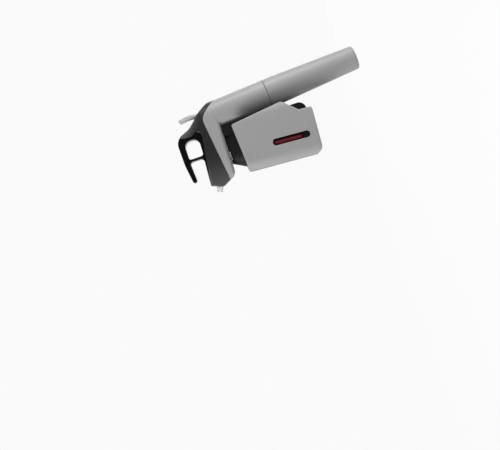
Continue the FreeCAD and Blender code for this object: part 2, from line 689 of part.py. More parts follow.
def make_hub():
    body = turned([
        (NEEDLE_R, LEG_UNDER - HUB_PROUD, 0), (HUB_SEAT_R - SEAM, LEG_UNDER - HUB_PROUD, 0.5),
        (HUB_SEAT_R - SEAM, LEG_UNDER + LEG_WALL, 0), (HUB_FLANGE_R, LEG_UNDER + LEG_WALL, 0),
        (HUB_FLANGE_R, LEG_UNDER + LEG_WALL + HUB_FLANGE, 0.4),
        (HUB_R, LEG_UNDER + LEG_WALL + HUB_FLANGE, 0), (HUB_R, HUB_HEIGHT, 1.0),
        (0, HUB_HEIGHT, 0), (0, NEEDLE_TOP, 0), (NEEDLE_R, NEEDLE_TOP, 0),
    ])
    nipple = on_spout(Part.makeCylinder(SPOUT_R - SPOUT_WALL, HUB_R + 4, vec(0, 0, 1)))
    bore = on_spout(Part.makeCylinder(NEEDLE_R, HUB_R + 6))
    riser = rod(NEEDLE_R, vec(0, 0, NEEDLE_TOP), vec(0, 0, SPOUT_Z + 0.5))
    gas_socket = rod(GAS_TUBE_R, vec(HUB_R - GAS_SOCKET, 0, GAS_TUBE_Z),
                     vec(HUB_R + 1, 0, GAS_TUBE_Z))
    return fused(body, nipple).cut(bore).cut(riser).cut(gas_socket)


def make_spout():
    inner_r = SPOUT_R - SPOUT_WALL
    start = HUB_R + 1.6
    step = SPOUT_BASE + SPOUT_COLLAR
    end = SPOUT_BASE + SPOUT_PROUD
    return on_spout(turned([
        (inner_r, start, 0), (SPOUT_BODY_R, start, 0), (SPOUT_BODY_R, step, 0.2),
        (SPOUT_R, step, 0), (SPOUT_R, end, 0), (inner_r, end, 0),
    ]))


def make_rail():
    rail = rail_shape(RAIL_BOTTOM, LEG_UNDER + LEG_WALL, 0.0)
    foot = box((RAIL_FRONT - 3, RAIL_BACK + 3), (-RAIL_FLANGE_HALF, RAIL_FLANGE_HALF),
               (LEG_UNDER + LEG_WALL, LEG_UNDER + LEG_WALL + RAIL_FOOT))
    rail = fused(rail, foot)
    for x, y in rail_screw_places():
        rail = rail.cut(rod(SCREW_R, vec(x, y, LEG_UNDER - 3), vec(x, y, LEG_UNDER + 9)))
    return rail


def make_screw(length):
    """Screw with its head's underside at Z = 0 and its shank towards -Z."""
    shank = Part.makeCylinder(SCREW_R, length, vec(0, 0, -length))
    head = turned([(0, 0, 0), (SCREW_HEAD_R, 0, 0), (SCREW_HEAD_R, SCREW_HEAD, 0.5),
                   (0, SCREW_HEAD, 0)])
    slot = Part.makeCylinder(0.8, 1, vec(0, 0, SCREW_HEAD - 0.8))
    return fused(shank, head).cut(slot)


def placed(shape, point, turn_axis=None, angle=0):
    moved = shape.copy()
    if turn_axis is not None:
        moved.rotate(vec(0, 0, 0), turn_axis, angle)
    moved.translate(point)
    return moved


def make_regulator():
    recess = CAPSULE_NECK_R + LOOSE
    recess_low = CAPSULE_TOP - CAPSULE_NECK_LENGTH + 1.5
    return on_tube(turned([
        (CHAMBER_R, CHAMBER_TOP, 0), (REGULATOR_R, CHAMBER_TOP, 0),
        (REGULATOR_R, REGULATOR_LOW, 0.8), (COLLAR_R, REGULATOR_LOW, 0),
        (COLLAR_R, COLLAR_END, 0.6), (COLLAR_BORE_R, COLLAR_END, 0),
        (COLLAR_BORE_R, recess_low - 3, 0), (recess, recess_low, 0), (recess, SEAL_TOP, 0),
        (PIN_R, SEAL_TOP, 0), (PIN_R, SEAL_TOP + 6, 0), (GAS_HOLE_R, SEAL_TOP + 6, 0),
        (GAS_HOLE_R, CHAMBER_LOW, 0), (CHAMBER_R, CHAMBER_LOW, 0),
    ]))


def make_regulator_cap():
    return on_tube(ring(REGULATOR_R, GAS_HOLE_R, CHAMBER_TOP, REGULATOR_TOP))


def make_piston():
    return on_tube(turned([
        (0, PISTON_TOP - PISTON_LENGTH, 0), (CHAMBER_R - RUN, PISTON_TOP - PISTON_LENGTH, 0.5),
        (CHAMBER_R - RUN, PISTON_TOP, 0.5), (0, PISTON_TOP, 0),
    ]))


def make_piercing_pin():
    tip = CAPSULE_TOP - PIN_DEPTH
    return on_tube(turned([
        (0, tip, 0), (PIN_R, tip + 2.2, 0), (PIN_R, SEAL_TOP + 6, 0), (0, SEAL_TOP + 6, 0),
    ]))


def make_capsule():
    neck_low = CAPSULE_TOP - CAPSULE_NECK_LENGTH
    hole = PIN_R + LOOSE
    inner_r = CAPSULE_R - CAPSULE_WALL
    neck_inner_r = CAPSULE_NECK_R - CAPSULE_WALL
    return on_tube(turned([
        (0, CAPSULE_LOW, 0), (CAPSULE_R, CAPSULE_LOW, 6.5),
        (CAPSULE_R, neck_low - CAPSULE_SHOULDER, 7.0), (CAPSULE_NECK_R, neck_low, 4.0),
        (CAPSULE_NECK_R, CAPSULE_TOP, 0.5), (hole, CAPSULE_TOP, 0),
        (hole, CAPSULE_TOP - CAPSULE_WALL, 0), (neck_inner_r, CAPSULE_TOP - CAPSULE_WALL, 0),
        (neck_inner_r, neck_low - 1.0, 3.0), (inner_r, neck_low - CAPSULE_SHOULDER - 1.0, 6.0),
        (inner_r, CAPSULE_LOW + CAPSULE_WALL, 5.0), (0, CAPSULE_LOW + CAPSULE_WALL, 0),
    ]))


def make_seal():
    return on_tube(ring(CAPSULE_NECK_R, PIN_R + 0.6, CAPSULE_TOP + SEAM, SEAL_TOP))


def make_cup():
    thread_r = COLLAR_R + LOOSE
    step = COLLAR_END - 1.5
    return on_tube(turned([
        (0, CUP_END, 0), (CUP_END_R / 2, CUP_END + CUP_DOME * 0.2, 20),
        (CUP_END_R, CUP_END + CUP_DOME, CUP_EDGE_R), (TUBE_R - 0.05, CUP_TOP - 11, 70),
        (TUBE_R, CUP_TOP, 0.3), (thread_r, CUP_TOP, 0.4), (thread_r, step, 0),
        (CUP_BORE_R, step - 2.0, 0), (CUP_BORE_R, CUP_FLOOR, 2.0), (0, CUP_FLOOR, 0),
    ]))


def make_cup_pad():
    return on_tube(ring(CUP_BORE_R - 2.2, 2.5, CUP_FLOOR, CUP_FLOOR + PAD_THICKNESS))


def make_valve_body():
    low = REGULATOR_TOP
    return on_tube(turned([
        (0, low, 0), (VALVE_R, low, 0), (VALVE_R, VALVE_TOP, 0.8),
        (SPOOL_R + RUN, VALVE_TOP, 0), (SPOOL_R + RUN, low + 3, 0), (0, low + 3, 0),
    ])).cut(rod(GAS_TUBE_R, *gas_path()[:2]))


def make_spool():
    low = REGULATOR_TOP + 3 + 1.4
    head_low = VALVE_TOP + VALVE_SPRING_SPACE
    return on_tube(turned([
        (0, low, 0), (SPOOL_R, low, 0.4), (SPOOL_R, head_low, 0), (SPOOL_HEAD_R, head_low, 0),
        (SPOOL_HEAD_R, SPOOL_TOP - SPOOL_DOME, 0.4), (SPOOL_HEAD_R / 2, SPOOL_TOP, 2.0),
        (0, SPOOL_TOP, 0),
    ]))


def make_trigger():
    tip_z = PIVOT_Z + TRIGGER_HEIGHT
    x = PIVOT_X
    blade = prism([
        (x - 2.6, PIVOT_Z, 0), (x - 1.4, PIVOT_Z + 15, 25), (x - 0.3, PIVOT_Z + 23.5, 35),
        (x - 2.2, tip_z - 1.2, 1.9), (x + 1.9, tip_z + 0.6, 1.9),
        (x + 4.8, PIVOT_Z + 24, 26), (x + 2.0, PIVOT_Z + 9, 25), (x + 2.8, PIVOT_Z, 0),
    ], "xz", -TRIGGER_HALF, TRIGGER_HALF)
    lip = [edge for edge in blade.Edges
           if abs(edge.CenterOfMass.y) > TRIGGER_HALF - 0.1 and edge.CenterOfMass.z > PIVOT_Z + 4]
    blade = blade.makeFillet(TRIGGER_EDGE, lip)
    hub = rod(TRIGGER_HUB_R, vec(x, -TRIGGER_HALF, PIVOT_Z), vec(x, TRIGGER_HALF, PIVOT_Z))
    spool_top = on_tube(Part.Vertex(0, 0, SPOOL_TOP)).Point
    arm_low = spool_top.z + FREE
    fork_half = SPOOL_HEAD_R + 0.8
    arm = box((spool_top.x - SPOOL_HEAD_R, x), (-fork_half, fork_half),
              (arm_low, arm_low + TRIGGER_ARM))
    spool_room = box((x - 10, x + TRIGGER_HUB_R + 1), (-fork_half, fork_half),
                     (PIVOT_Z - TRIGGER_HUB_R - 1, arm_low))
    pin = rod(PIVOT_R + RUN, vec(x, -20, PIVOT_Z), vec(x, 20, PIVOT_Z))
    return fused(blade, hub, arm).cut(spool_room).cut(pin)


# ------------------------------------------------------------------ clamp base
def hinge_places():
    return [(PIN_X, side * PIN_Y) for side in (-1, 1)]


def ear_spans():
    return [(EAR_TOP - EAR, EAR_TOP), (EAR_LOW - EAR, EAR_LOW)]


def make_base():
    lower_r = BLOCK_FLARE_R
    back_x = BLOCK_BACK - 2
    top = belt([(0, 0, BLOCK_FRONT_R), (back_x, -BLOCK_FRONT_R + 2.2, 2),
                (back_x, BLOCK_FRONT_R - 2.2, 2)])
    top.translate(vec(0, 0, BLOCK_TOP))
    low = belt([(0, 0, lower_r), (back_x + 3, -COLUMN_HALF + 2, 2),
                (back_x + 3, COLUMN_HALF - 2, 2)])
    low.translate(vec(0, 0, BLOCK_FLARE_Z))
    block = Part.makeLoft([low, top], True, True)
    skirt = Part.makeCylinder(lower_r, SOCKET_DEPTH + BLOCK_FLARE_Z - LIP_PAD,
                              vec(0, 0, LIP_PAD - SOCKET_DEPTH))
    column = prism([
        (COLUMN_FRONT, COLUMN_BOTTOM, 2.0), (COLUMN_BACK, COLUMN_BOTTOM, COLUMN_EDGE),
        (COLUMN_BACK, COLUMN_TOP, 0.8), (COLUMN_FRONT, COLUMN_TOP, 0.8),
    ], "xz", -COLUMN_HALF, COLUMN_HALF)
    bridge = box((0, COLUMN_FRONT + 1), (-COLUMN_HALF + 1, COLUMN_HALF - 1),
                 (LIP_PAD - SOCKET_DEPTH, BLOCK_FLARE_Z))
    body = fused(block, skirt, bridge, column)
    for x, y in hinge_places():
        inward = -1 if y > 0 else 1
        for low_z, high_z in ear_spans():
            boss = rod(KNUCKLE_R, vec(x, y, low_z), vec(x, y, high_z))
            web = box((x - 2.5, x + 2.5), sorted((y, y + inward * (PIN_Y - COLUMN_HALF + 1))),
                      (low_z, high_z))
            body = body.fuse(boss).fuse(web)
            body = body.cut(rod(HINGE_PIN_R, vec(x, y, low_z - 1), vec(x, y, high_z + 1)))
    body = body.cut(Part.makeCylinder(SOCKET_R, 40, vec(0, 0, LIP_PAD - 40)))
    body = body.cut(rail_shape(COLUMN_BOTTOM - 5, BLOCK_TOP + 5, FREE))
    body = body.cut(box((RAIL_BACK, COLUMN_BACK + 5), (-RAIL_WEB_HALF - FREE, RAIL_WEB_HALF + FREE),
                        (COLUMN_BOTTOM - 5, COLUMN_TOP + 5)))
    notch_span = (BUSH_TOP, BLOCK_TOP + 5)
    notch = box(HUB_NOTCH, (-COLUMN_HALF, COLUMN_HALF), notch_span)
    wall = box(HUB_NOTCH, (-HUB_NOTCH_WALL / 2, HUB_NOTCH_WALL / 2), notch_span)
    wall = wall.cut(rod(HUB_SEAT_R + FREE, vec(0, 0, BUSH_TOP - 1), vec(0, 0, BLOCK_TOP + 6)))
    body = body.cut(notch.cut(wall))
    body = body.cut(rod(BUSH_R, vec(0, 0, BUSH_TOP - BUSH_LENGTH), vec(0, 0, BUSH_TOP + 5)))
    body = body.cut(rod(NEEDLE_R + 0.8, vec(0, 0, -5), vec(0, 0, BLOCK_TOP)))
    return body.removeSplitter()


def make_bush():
    return ring(BUSH_R, NEEDLE_R + RUN, BUSH_TOP - BUSH_LENGTH, BUSH_TOP)


def make_lip_pad():
    return ring(SOCKET_R, 5.0, 0, LIP_PAD)


def neck_cylinder(radius):
    return rod(radius, vec(0, 0, COLUMN_BOTTOM - OVERSHOOT), vec(0, 0, OVERSHOOT))


def make_neck_rest():
    block = box((0, COLUMN_FRONT), (-NECK_REST_HALF, NECK_REST_HALF),
                (GRIP_BOTTOM + 4, -SOCKET_DEPTH - 4))
    return block.cut(neck_cylinder(NECK_R))


def make_hinge_pins():
    low = EAR_LOW - EAR - 1
    return [rod(HINGE_PIN_R, vec(x, y, low), vec(x, y, EAR_TOP + 1)) for x, y in hinge_places()]


# ------------------------------------------------------------------ clamp arms (right arm at +Y)
def arm_outline():
    """Side view of an arm; the whole shape leans with its front face."""
    front = -ARM_FRONT - 0.4
    return [
        (front + ARM_LEAN * ARM_TOP, ARM_TOP, 4.0),
        (front + ARM_LEAN * ARM_BOTTOM, ARM_BOTTOM, 7.0),
        (ARM_HEEL_X - 0.8, ARM_HEEL_LOW, 3.0),
        (ARM_HEEL_X, ARM_HEEL_TOP, 3.0),
        (ARM_TAB_X, ARM_TAB_Z, 5.4),
        (ARM_TOP_REAR_X, ARM_TOP_REAR, 2.5),
    ]


def arm_section(z, inset):
    """Plan of an arm at a height: curved outer wall, closed along an inner line."""
    front = -ARM_FRONT + ARM_LEAN * z + inset
    inner = -8.0 if inset else ARM_GAP_HALF
    wire = rounded_wire([
        (front, inner, 0),
        (front, ARM_HALF - 0.2 - inset, ARM_FRONT_ROUND - inset),
        (ARM_CROWN_X, ARM_HALF + ARM_CROWN - inset, ARM_CROWN_ROUND),
        (ARM_REAR_X, ARM_HALF - inset, ARM_REAR_ROUND - inset),
        (ARM_REAR_TAPER_X, ARM_HALF - ARM_REAR_TAPER - inset, 0),
        (ARM_REAR_TAPER_X, inner, 0),
    ], "xy")
    wire.translate(vec(0, 0, z))
    return wire


def arm_loft(inset):
    return Part.makeLoft([arm_section(z, inset) for z in ARM_BLANK], True, True)


def make_arm_shell():
    outline = arm_outline()
    outer = arm_loft(0).common(prism(outline, "xz", 0, 50))
    outer = soften(outer, rounded_wire(outline), ARM_EDGE, lambda p: p.y > ARM_GAP_HALF + 0.5)
    inner_heel_x = ARM_HEEL_X - ARM_WALL
    floor = ARM_HEEL_TOP + ARM_WALL * math.sqrt(1 + TAB_SLOPE * TAB_SLOPE)
    far = ARM_TAB_X + OVERSHOOT
    hollow = prism([
        (-far, ARM_TOP - ARM_WALL - ARM_LEAN * OVERSHOOT / 2, 0), (-far, ARM_BOTTOM + ARM_WALL, 0),
        (0, ARM_BOTTOM + ARM_WALL, 0), (inner_heel_x, ARM_HEEL_LOW + ARM_WALL, 0),
        (inner_heel_x, floor - TAB_SLOPE * ARM_WALL, 0),
        (far, floor + TAB_SLOPE * (far - ARM_HEEL_X), 0), (far, ARM_TOP_REAR - ARM_WALL, 0),
        (ARM_TOP_REAR_X, ARM_TOP_REAR - ARM_WALL, 0),
    ], "xz", -20, 50)
    shell = outer.cut(arm_loft(ARM_WALL).common(hollow))
    neck_room = neck_cylinder(NECK_R + NECK_ROOM)
    back_room = box((0, OVERSHOOT), (-5, NECK_R + NECK_ROOM), ARM_BLANK)
    shell = shell.cut(neck_room).cut(back_room)
    for low_z, high_z in knuckle_spans():
        boss = rod(KNUCKLE_R, vec(PIN_X, PIN_Y, low_z), vec(PIN_X, PIN_Y, high_z))
        web = box((PIN_X - 2.5, PIN_X + 2.5), (PIN_Y, ARM_HALF - 1.2), (low_z, high_z))
        shell = shell.fuse(boss).fuse(web)
        shell = shell.cut(rod(HINGE_PIN_R + RUN, vec(PIN_X, PIN_Y, low_z - 1),
                              vec(PIN_X, PIN_Y, high_z + 1)))
    shell = shell.cut(slot_prism(SLOT_HALF, SLOT_BOTTOM, SLOT_TOP, 20, 50))
    for z in (SLOT_BOTTOM + SLOT_HALF, SLOT_TOP - SLOT_HALF):
        centre = vec(SLOT_X + ARM_LEAN * z, ARM_HALF + ARM_CROWN + SLOT_DISH_R - SLOT_DISH_DEPTH, z)
        shell = shell.cut(Part.makeSphere(SLOT_DISH_R, centre))
    for x, z in arm_screw_places():
        shell = shell.cut(rod(SCREW_R, vec(x, 20, z), vec(x, LINER_OUT + 1.8, z)))
    return shell.removeSplitter()


def knuckle_spans():
    top = EAR_TOP - EAR - FREE
    low = EAR_LOW + FREE
    return [(top - KNUCKLE, top), (low, low + KNUCKLE)]


def arm_screw_places():
    return [(8.5, -22.0), (8.5, -66.0)]


def slot_prism(half, bottom, top, low_y, high_y):
    """Round-ended bar through the arm, along the slot's leaning centre line."""
    corners = []
    for z, order in ((bottom, (-1, 1)), (top, (1, -1))):
        corners += [(SLOT_X + ARM_LEAN * z + side * half, z, half - 0.02) for side in order]
    return prism(corners, "xz", low_y, high_y)


def make_arm_liner():
    sector = math.radians(GRIP_ANGLE)
    plate_r = LINER_R + LINER_PLATE
    heights = (GRIP_BOTTOM, GRIP_TOP)
    half = plate_r * math.sin(sector)
    plate = rod(plate_r, vec(0, 0, GRIP_BOTTOM), vec(0, 0, GRIP_TOP))
    solid = plate.common(box((-half, half), (8, 40), heights))
    for z in LINER_RIB_ZS:
        rib_span = (z - LINER_RIB / 2, z + LINER_RIB / 2)
        solid = solid.fuse(box((-half, half), (14, LINER_OUT), rib_span))
    solid = solid.fuse(slot_prism(SLOT_HALF + LINER_RIM, SLOT_BOTTOM - LINER_RIM,
                                  SLOT_TOP + LINER_RIM, 14, LINER_OUT))
    for x, z in arm_screw_places():
        solid = solid.fuse(rod(BOSS_R, vec(x, 14, z), vec(x, LINER_OUT, z)))
    solid = solid.cut(neck_cylinder(LINER_R + SEAM))
    solid = solid.cut(slot_prism(SLOT_HALF, SLOT_BOTTOM + SLOT_BLACK, SLOT_TOP, 10, 40))
    for x, z in arm_screw_places():
        solid = solid.cut(rod(SCREW_R, vec(x, 10, z), vec(x, 40, z)))
        solid = solid.cut(rod(SCREW_HEAD_R + 0.1, vec(x, 10, z),
                              vec(x, LINER_OUT - ARM_SCREW_SINK, z)))
    return solid.removeSplitter()


def make_grip_pad():
    pad = ring(LINER_R, NECK_R, GRIP_BOTTOM, GRIP_TOP)
    half = LINER_R * math.sin(math.radians(GRIP_ANGLE))
    pad = pad.common(box((-half, half), (0, 40), (GRIP_BOTTOM, GRIP_TOP)))
    rib = slot_prism(SLOT_HALF - FREE, SLOT_BOTTOM + SLOT_BLACK + FREE, SLOT_TOP - FREE,
                     NECK_R + 1, LINER_OUT - 0.4)
    return fused(pad, rib)


def make_arm_screws():
    screws = []
    for x, z in arm_screw_places():
        screw = make_screw(ARM_SCREW_SINK + ARM_SCREW_BITE)
        screws.append(placed(screw, vec(x, LINER_OUT - ARM_SCREW_SINK, z), vec(1, 0, 0), 90))
    return screws


# ------------------------------------------------------------------ springs, pins, small pieces
def make_head_screws():
    seat = LEG_UNDER + SCREW_HEAD + 0.2
    return [placed(make_screw(COVER_SCREW), vec(x, y, seat), vec(1, 0, 0), 180)
            for x, y in head_screw_places()]


def make_rail_screws():
    seat = LEG_UNDER + LEG_WALL + RAIL_FOOT
    return [placed(make_screw(RAIL_FOOT + RAIL_SCREW_BITE), vec(x, y, seat))
            for x, y in rail_screw_places()]


def make_trigger_pin():
    return rod(PIVOT_R, vec(PIVOT_X, -PIN_REACH, PIVOT_Z), vec(PIVOT_X, PIN_REACH, PIVOT_Z))


def make_needle():
    low = NEEDLE_TOP - NEEDLE_LENGTH
    side_hole_z = low + 8
    tube = turned([
        (0, low, 0), (NEEDLE_R, low + 5, 0), (NEEDLE_R, NEEDLE_TOP, 0),
        (NEEDLE_BORE_R, NEEDLE_TOP, 0), (NEEDLE_BORE_R, low + 6, 0), (0, low + 6, 0),
    ])
    return tube.cut(rod(NEEDLE_BORE_R, vec(-2, 0, side_hole_z), vec(0, 0, side_hole_z)))


def make_spout_seal():
    seal = Part.makeTorus(SPOUT_BODY_R + 0.65, 0.62, vec(0, 0, SPOUT_BASE - 5))
    return on_spout(seal)


def make_gas_tube():
    return swept_tube(gas_path(), GAS_TUBE_R, GAS_TUBE_BEND)


if __name__ == "__main__":
    save("head_housing", make_housing())
    cover_body, handle_back, inlay = make_cover_and_inlay()
    save("grip_cover", make_cover(cover_body, handle_back))
    save("grip_inlay", inlay)
    save("slide_rail", make_rail())
    save("rail_screws", *make_rail_screws())
    save("cover_screws", *make_head_screws())
    save("regulator_body", make_regulator())
    save("regulator_cap", make_regulator_cap())
    save("regulator_piston", make_piston())
    save("regulator_spring", on_tube(coil(REGULATOR_SPRING_R, REGULATOR_SPRING_WIRE, PISTON_TOP,
                                          CHAMBER_TOP, REGULATOR_SPRING_TURNS)))
    save("piercing_pin", make_piercing_pin())
    save("capsule_seal", make_seal())
    save("argon_capsule", make_capsule())
    save("capsule_cup", make_cup())
    save("cup_pad", make_cup_pad())
    save("valve_body", make_valve_body())
    save("valve_spool", make_spool())
    valve_spring_r = SPOOL_R + FREE + VALVE_SPRING_WIRE / 2
    save("valve_spring", on_tube(coil(valve_spring_r, VALVE_SPRING_WIRE, VALVE_TOP,
                                      VALVE_TOP + VALVE_SPRING_SPACE, VALVE_SPRING_TURNS)))
    save("gas_tube", make_gas_tube())
    save("needle_hub", make_hub())
    save("needle", make_needle())
    save("spout_tube", make_spout())
    save("spout_seal", make_spout_seal())
    save("trigger", make_trigger())
    save("trigger_pin", make_trigger_pin())
    save("clamp_base", make_base())
    save("needle_bush", make_bush())
    save("lip_pad", make_lip_pad())
    save("neck_rest", make_neck_rest())
    save("hinge_pins", *make_hinge_pins())
    spring = coil(HINGE_PIN_R + ARM_SPRING_WIRE, ARM_SPRING_WIRE, EAR_LOW + KNUCKLE + 4,
                  EAR_TOP - EAR - KNUCKLE - 4, ARM_SPRING_TURNS)
    save("arm_springs", *[placed(spring, vec(x, y, 0)) for x, y in hinge_places()])
    for side, turn in (("right", lambda shape: shape), ("left", mirrored)):
        save(side + "_arm_shell", turn(make_arm_shell()))
        save(side + "_arm_liner", turn(make_arm_liner()))
        save(side + "_grip_pad", turn(make_grip_pad()))
        save(side + "_arm_screws", *[turn(screw) for screw in make_arm_screws()])
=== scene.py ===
"""Finishes, soft parts and fittings of a wine preservation dispenser, on its fixed frame."""
import json
import math

import bmesh
import bpy
from mathutils import Matrix, Vector


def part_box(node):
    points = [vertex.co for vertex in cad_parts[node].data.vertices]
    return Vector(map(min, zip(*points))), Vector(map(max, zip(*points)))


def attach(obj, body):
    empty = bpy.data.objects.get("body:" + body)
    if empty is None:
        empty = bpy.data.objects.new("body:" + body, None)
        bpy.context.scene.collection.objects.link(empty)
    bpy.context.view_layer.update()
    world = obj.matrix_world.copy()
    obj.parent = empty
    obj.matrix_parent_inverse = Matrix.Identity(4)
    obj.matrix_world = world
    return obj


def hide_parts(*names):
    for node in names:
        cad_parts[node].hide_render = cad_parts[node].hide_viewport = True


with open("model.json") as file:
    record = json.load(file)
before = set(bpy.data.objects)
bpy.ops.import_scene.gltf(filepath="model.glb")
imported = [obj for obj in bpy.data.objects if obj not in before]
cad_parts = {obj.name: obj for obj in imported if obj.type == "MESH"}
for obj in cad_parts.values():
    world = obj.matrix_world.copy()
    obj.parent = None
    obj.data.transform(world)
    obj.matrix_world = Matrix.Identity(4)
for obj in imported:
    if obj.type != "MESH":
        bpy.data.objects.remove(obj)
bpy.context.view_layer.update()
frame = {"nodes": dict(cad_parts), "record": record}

bl_info = {
    "name": "Wine Preservation Dispenser",
    "version": (1, 0, 0),
    "blender": (4, 5, 0),
    "location": "View3D > Sidebar > Dispenser",
    "description": "Finishes, soft parts, fittings and studio of a wine preservation dispenser",
    "category": "Object",
}

NODES = frame["nodes"]
SLOT_OF = {row["node"]: row["material_slot"] for row in frame["record"]["subparts"]}
MM = 0.001

# Local frames of the tube, with the cup below it, and of the spout: both point along their Z
TUBE_LEAN = math.radians(4.3)
TUBE = Matrix.Translation((49 * MM, 0, 20 * MM)) @ Matrix.Rotation(-TUBE_LEAN, 4, "Y")
TUBE_AXIS = TUBE.to_3x3() @ Vector((0, 0, 1))
SPOUT_RISE = math.radians(18.3)
SPOUT = Matrix.Translation((0, 0, 32.1 * MM)) @ Matrix.Rotation(SPOUT_RISE - math.pi / 2, 4, "Y")


# ---------------------------------------------------------------- settings
def colour(name, description, default):
    return bpy.props.FloatVectorProperty(
        name=name, description=description, default=default, size=3, min=0, max=1, subtype="COLOR")


def length(name, description, default):
    return bpy.props.FloatProperty(
        name=name, description=description, default=default, min=0, unit="LENGTH")


def share(name, description, default):
    return bpy.props.FloatProperty(
        name=name, description=description, default=default, min=0, max=1, subtype="FACTOR")


def power(name, description, default):
    return bpy.props.FloatProperty(
        name=name, description=description, default=default, min=0, unit="POWER")


class DispenserFinish(bpy.types.PropertyGroup):
    """Colours and gloss of the dispenser's finishes."""

    housing: colour("Housing", "Satin grey of the tube, the leg and the cup", (0.38, 0.38, 0.382))
    arm: colour("Arms", "Satin grey of the clamp's arms", (0.37, 0.37, 0.37))
    cover: colour("Cover", "Satin charcoal of the cover", (0.011, 0.011, 0.0115))
    inlay: colour("Inlay", "Polished black of the hook, window rim and leg edge",
                  (0.0012, 0.0012, 0.0013))
    clamp: colour("Clamp", "Matt black of the guide block, column and liners",
                  (0.006, 0.006, 0.0063))
    rail: colour("Rail", "Smooth black of the slide rail", (0.02, 0.02, 0.021))
    grip: colour("Grips", "Dark red of the grip pads", (0.24, 0.010, 0.032))
    rubber: colour("Rubber", "Black of the rests and seals", (0.018, 0.018, 0.018))
    trigger: colour("Trigger", "Satin silver of the trigger", (0.60, 0.60, 0.61))
    spout: colour("Spout", "Pale polymer of the spout", (0.96, 0.96, 0.955))
    housing_roughness: share("Housing roughness", "Roughness of the satin grey", 0.46)
    cover_roughness: share("Cover roughness", "Roughness of the charcoal", 0.42)
    inlay_roughness: share("Inlay roughness", "Roughness of the polished black", 0.16)
    wear: share("Wear", "How much rubbed edges and handling marks show", 0.5)


class DispenserDetail(bpy.types.PropertyGroup):
    """Sizes of the soft parts and fittings."""

    rib_pitch: length("Rib pitch", "Spacing of the ribs on the pads and the rest", 3.0 * MM)
    rib_depth: length("Rib depth", "Depth of the grooves between the ribs", 0.5 * MM)
    pad_round: length("Pad rounding", "Rounding along the pads' edges", 1.2 * MM)
    thread_pitch: length("Thread pitch", "Pitch of the cup's thread", 2.0 * MM)
    thread_height: length("Thread height", "How far the thread stands off the collar", 0.28 * MM)
    screw_shank: length("Screw shank", "Radius of the screws' shanks", 1.25 * MM)
    screw_head: length("Screw head", "Radius of the screws' heads", 2.3 * MM)
    screw_socket: length("Screw socket", "Half the width across the sockets' flats", 0.75 * MM)


class DispenserStage(bpy.types.PropertyGroup):
    """Camera, lamps and floor."""

    lens: bpy.props.FloatProperty(
        name="Lens", description="Focal length of the camera", default=84.9, unit="CAMERA")
    distance: length("Distance", "Camera to the dispenser's middle plane", 1.32)
    floor_drop: length("Floor", "Depth of the floor below the lip's plane", 0.30)
    key: power("Key", "Power of the main lamp, on the cup's side", 6.5)
    front: power("Front", "Power of the lamp near the camera", 1.9)
    fill: power("Fill", "Power of the lamp on the spout's side", 9.5)
    side: power("Side", "Power of the lamp on the bottle's side", 2.4)
    back: power("Back", "Power of the lamp on the far side", 5.0)
    ambient: share("Ambient", "Level of the room's own light", 0.04)
    background: share("Background", "Level of the backdrop", 0.955)


# ---------------------------------------------------------------- shader building
class Value:
    """An output of a node. Python's operators on it add Math nodes."""

    def __init__(self, nodes, node, output=0):
        self.nodes = nodes
        self.node = node
        self.output = output

    @property
    def socket(self):
        return self.node.outputs[self.output]

    def other(self, output):
        """Another output of the same node."""
        return Value(self.nodes, self.node, output)

    def __add__(self, other):
        return self.nodes.maths("ADD", self, other)

    def __sub__(self, other):
        return self.nodes.maths("SUBTRACT", self, other)

    def __rsub__(self, other):
        return self.nodes.maths("SUBTRACT", other, self)

    def __mul__(self, other):
        return self.nodes.maths("MULTIPLY", self, other)

    def __truediv__(self, other):
        return self.nodes.maths("DIVIDE", self, other)

    def __rtruediv__(self, other):
        return self.nodes.maths("DIVIDE", other, self)

    def __pow__(self, other):
        return self.nodes.maths("POWER", self, other)

    def __rpow__(self, other):
        return self.nodes.maths("POWER", other, self)

    __radd__ = __add__
    __rmul__ = __mul__

    def clamped(self):
        return self.nodes.maths("ADD", self, 0.0, clamp=True)


class Nodes:
    """A node tree that is built node by node."""

    def __init__(self, tree):
        self.tree = tree
        tree.nodes.clear()

    def node(self, kind, settings=None, values=None, output=0):
        """Adds a node: its settings first, then what its sockets take."""
        made = self.tree.nodes.new(kind)
        for name, setting in (settings or {}).items():
            setattr(made, name, setting)
        self.feed(made, values or {})
        return Value(self, made, output)

    def feed(self, node, values):
        """Links or sets what a node's sockets take."""
        for name, value in values.items():
            if isinstance(value, Value):
                self.tree.links.new(value.socket, node.inputs[name])
            else:
                node.inputs[name].default_value = value

    def maths(self, operation, *values, clamp=False):
        return self.node("ShaderNodeMath", {"operation": operation, "use_clamp": clamp},
                         dict(enumerate(values)))

    def spread(self, value, low, high, to_low=0.0, to_high=1.0):
        """Maps low..high to 0..1, or to another span, and holds it at both ends."""
        return self.node("ShaderNodeMapRange", {"clamp": True}, {
            "Value": value, "From Min": low, "From Max": high, "To Min": to_low,
            "To Max": to_high})

    def seen_directly(self):
        """1 for rays that show the backdrop: from the camera, in gloss and through glass."""
        path = self.node("ShaderNodeLightPath")
        camera, gloss, glass = (
            path.other(name + " Ray") for name in ("Is Camera", "Is Glossy", "Is Transmission"))
        return (camera + gloss + glass).clamped()


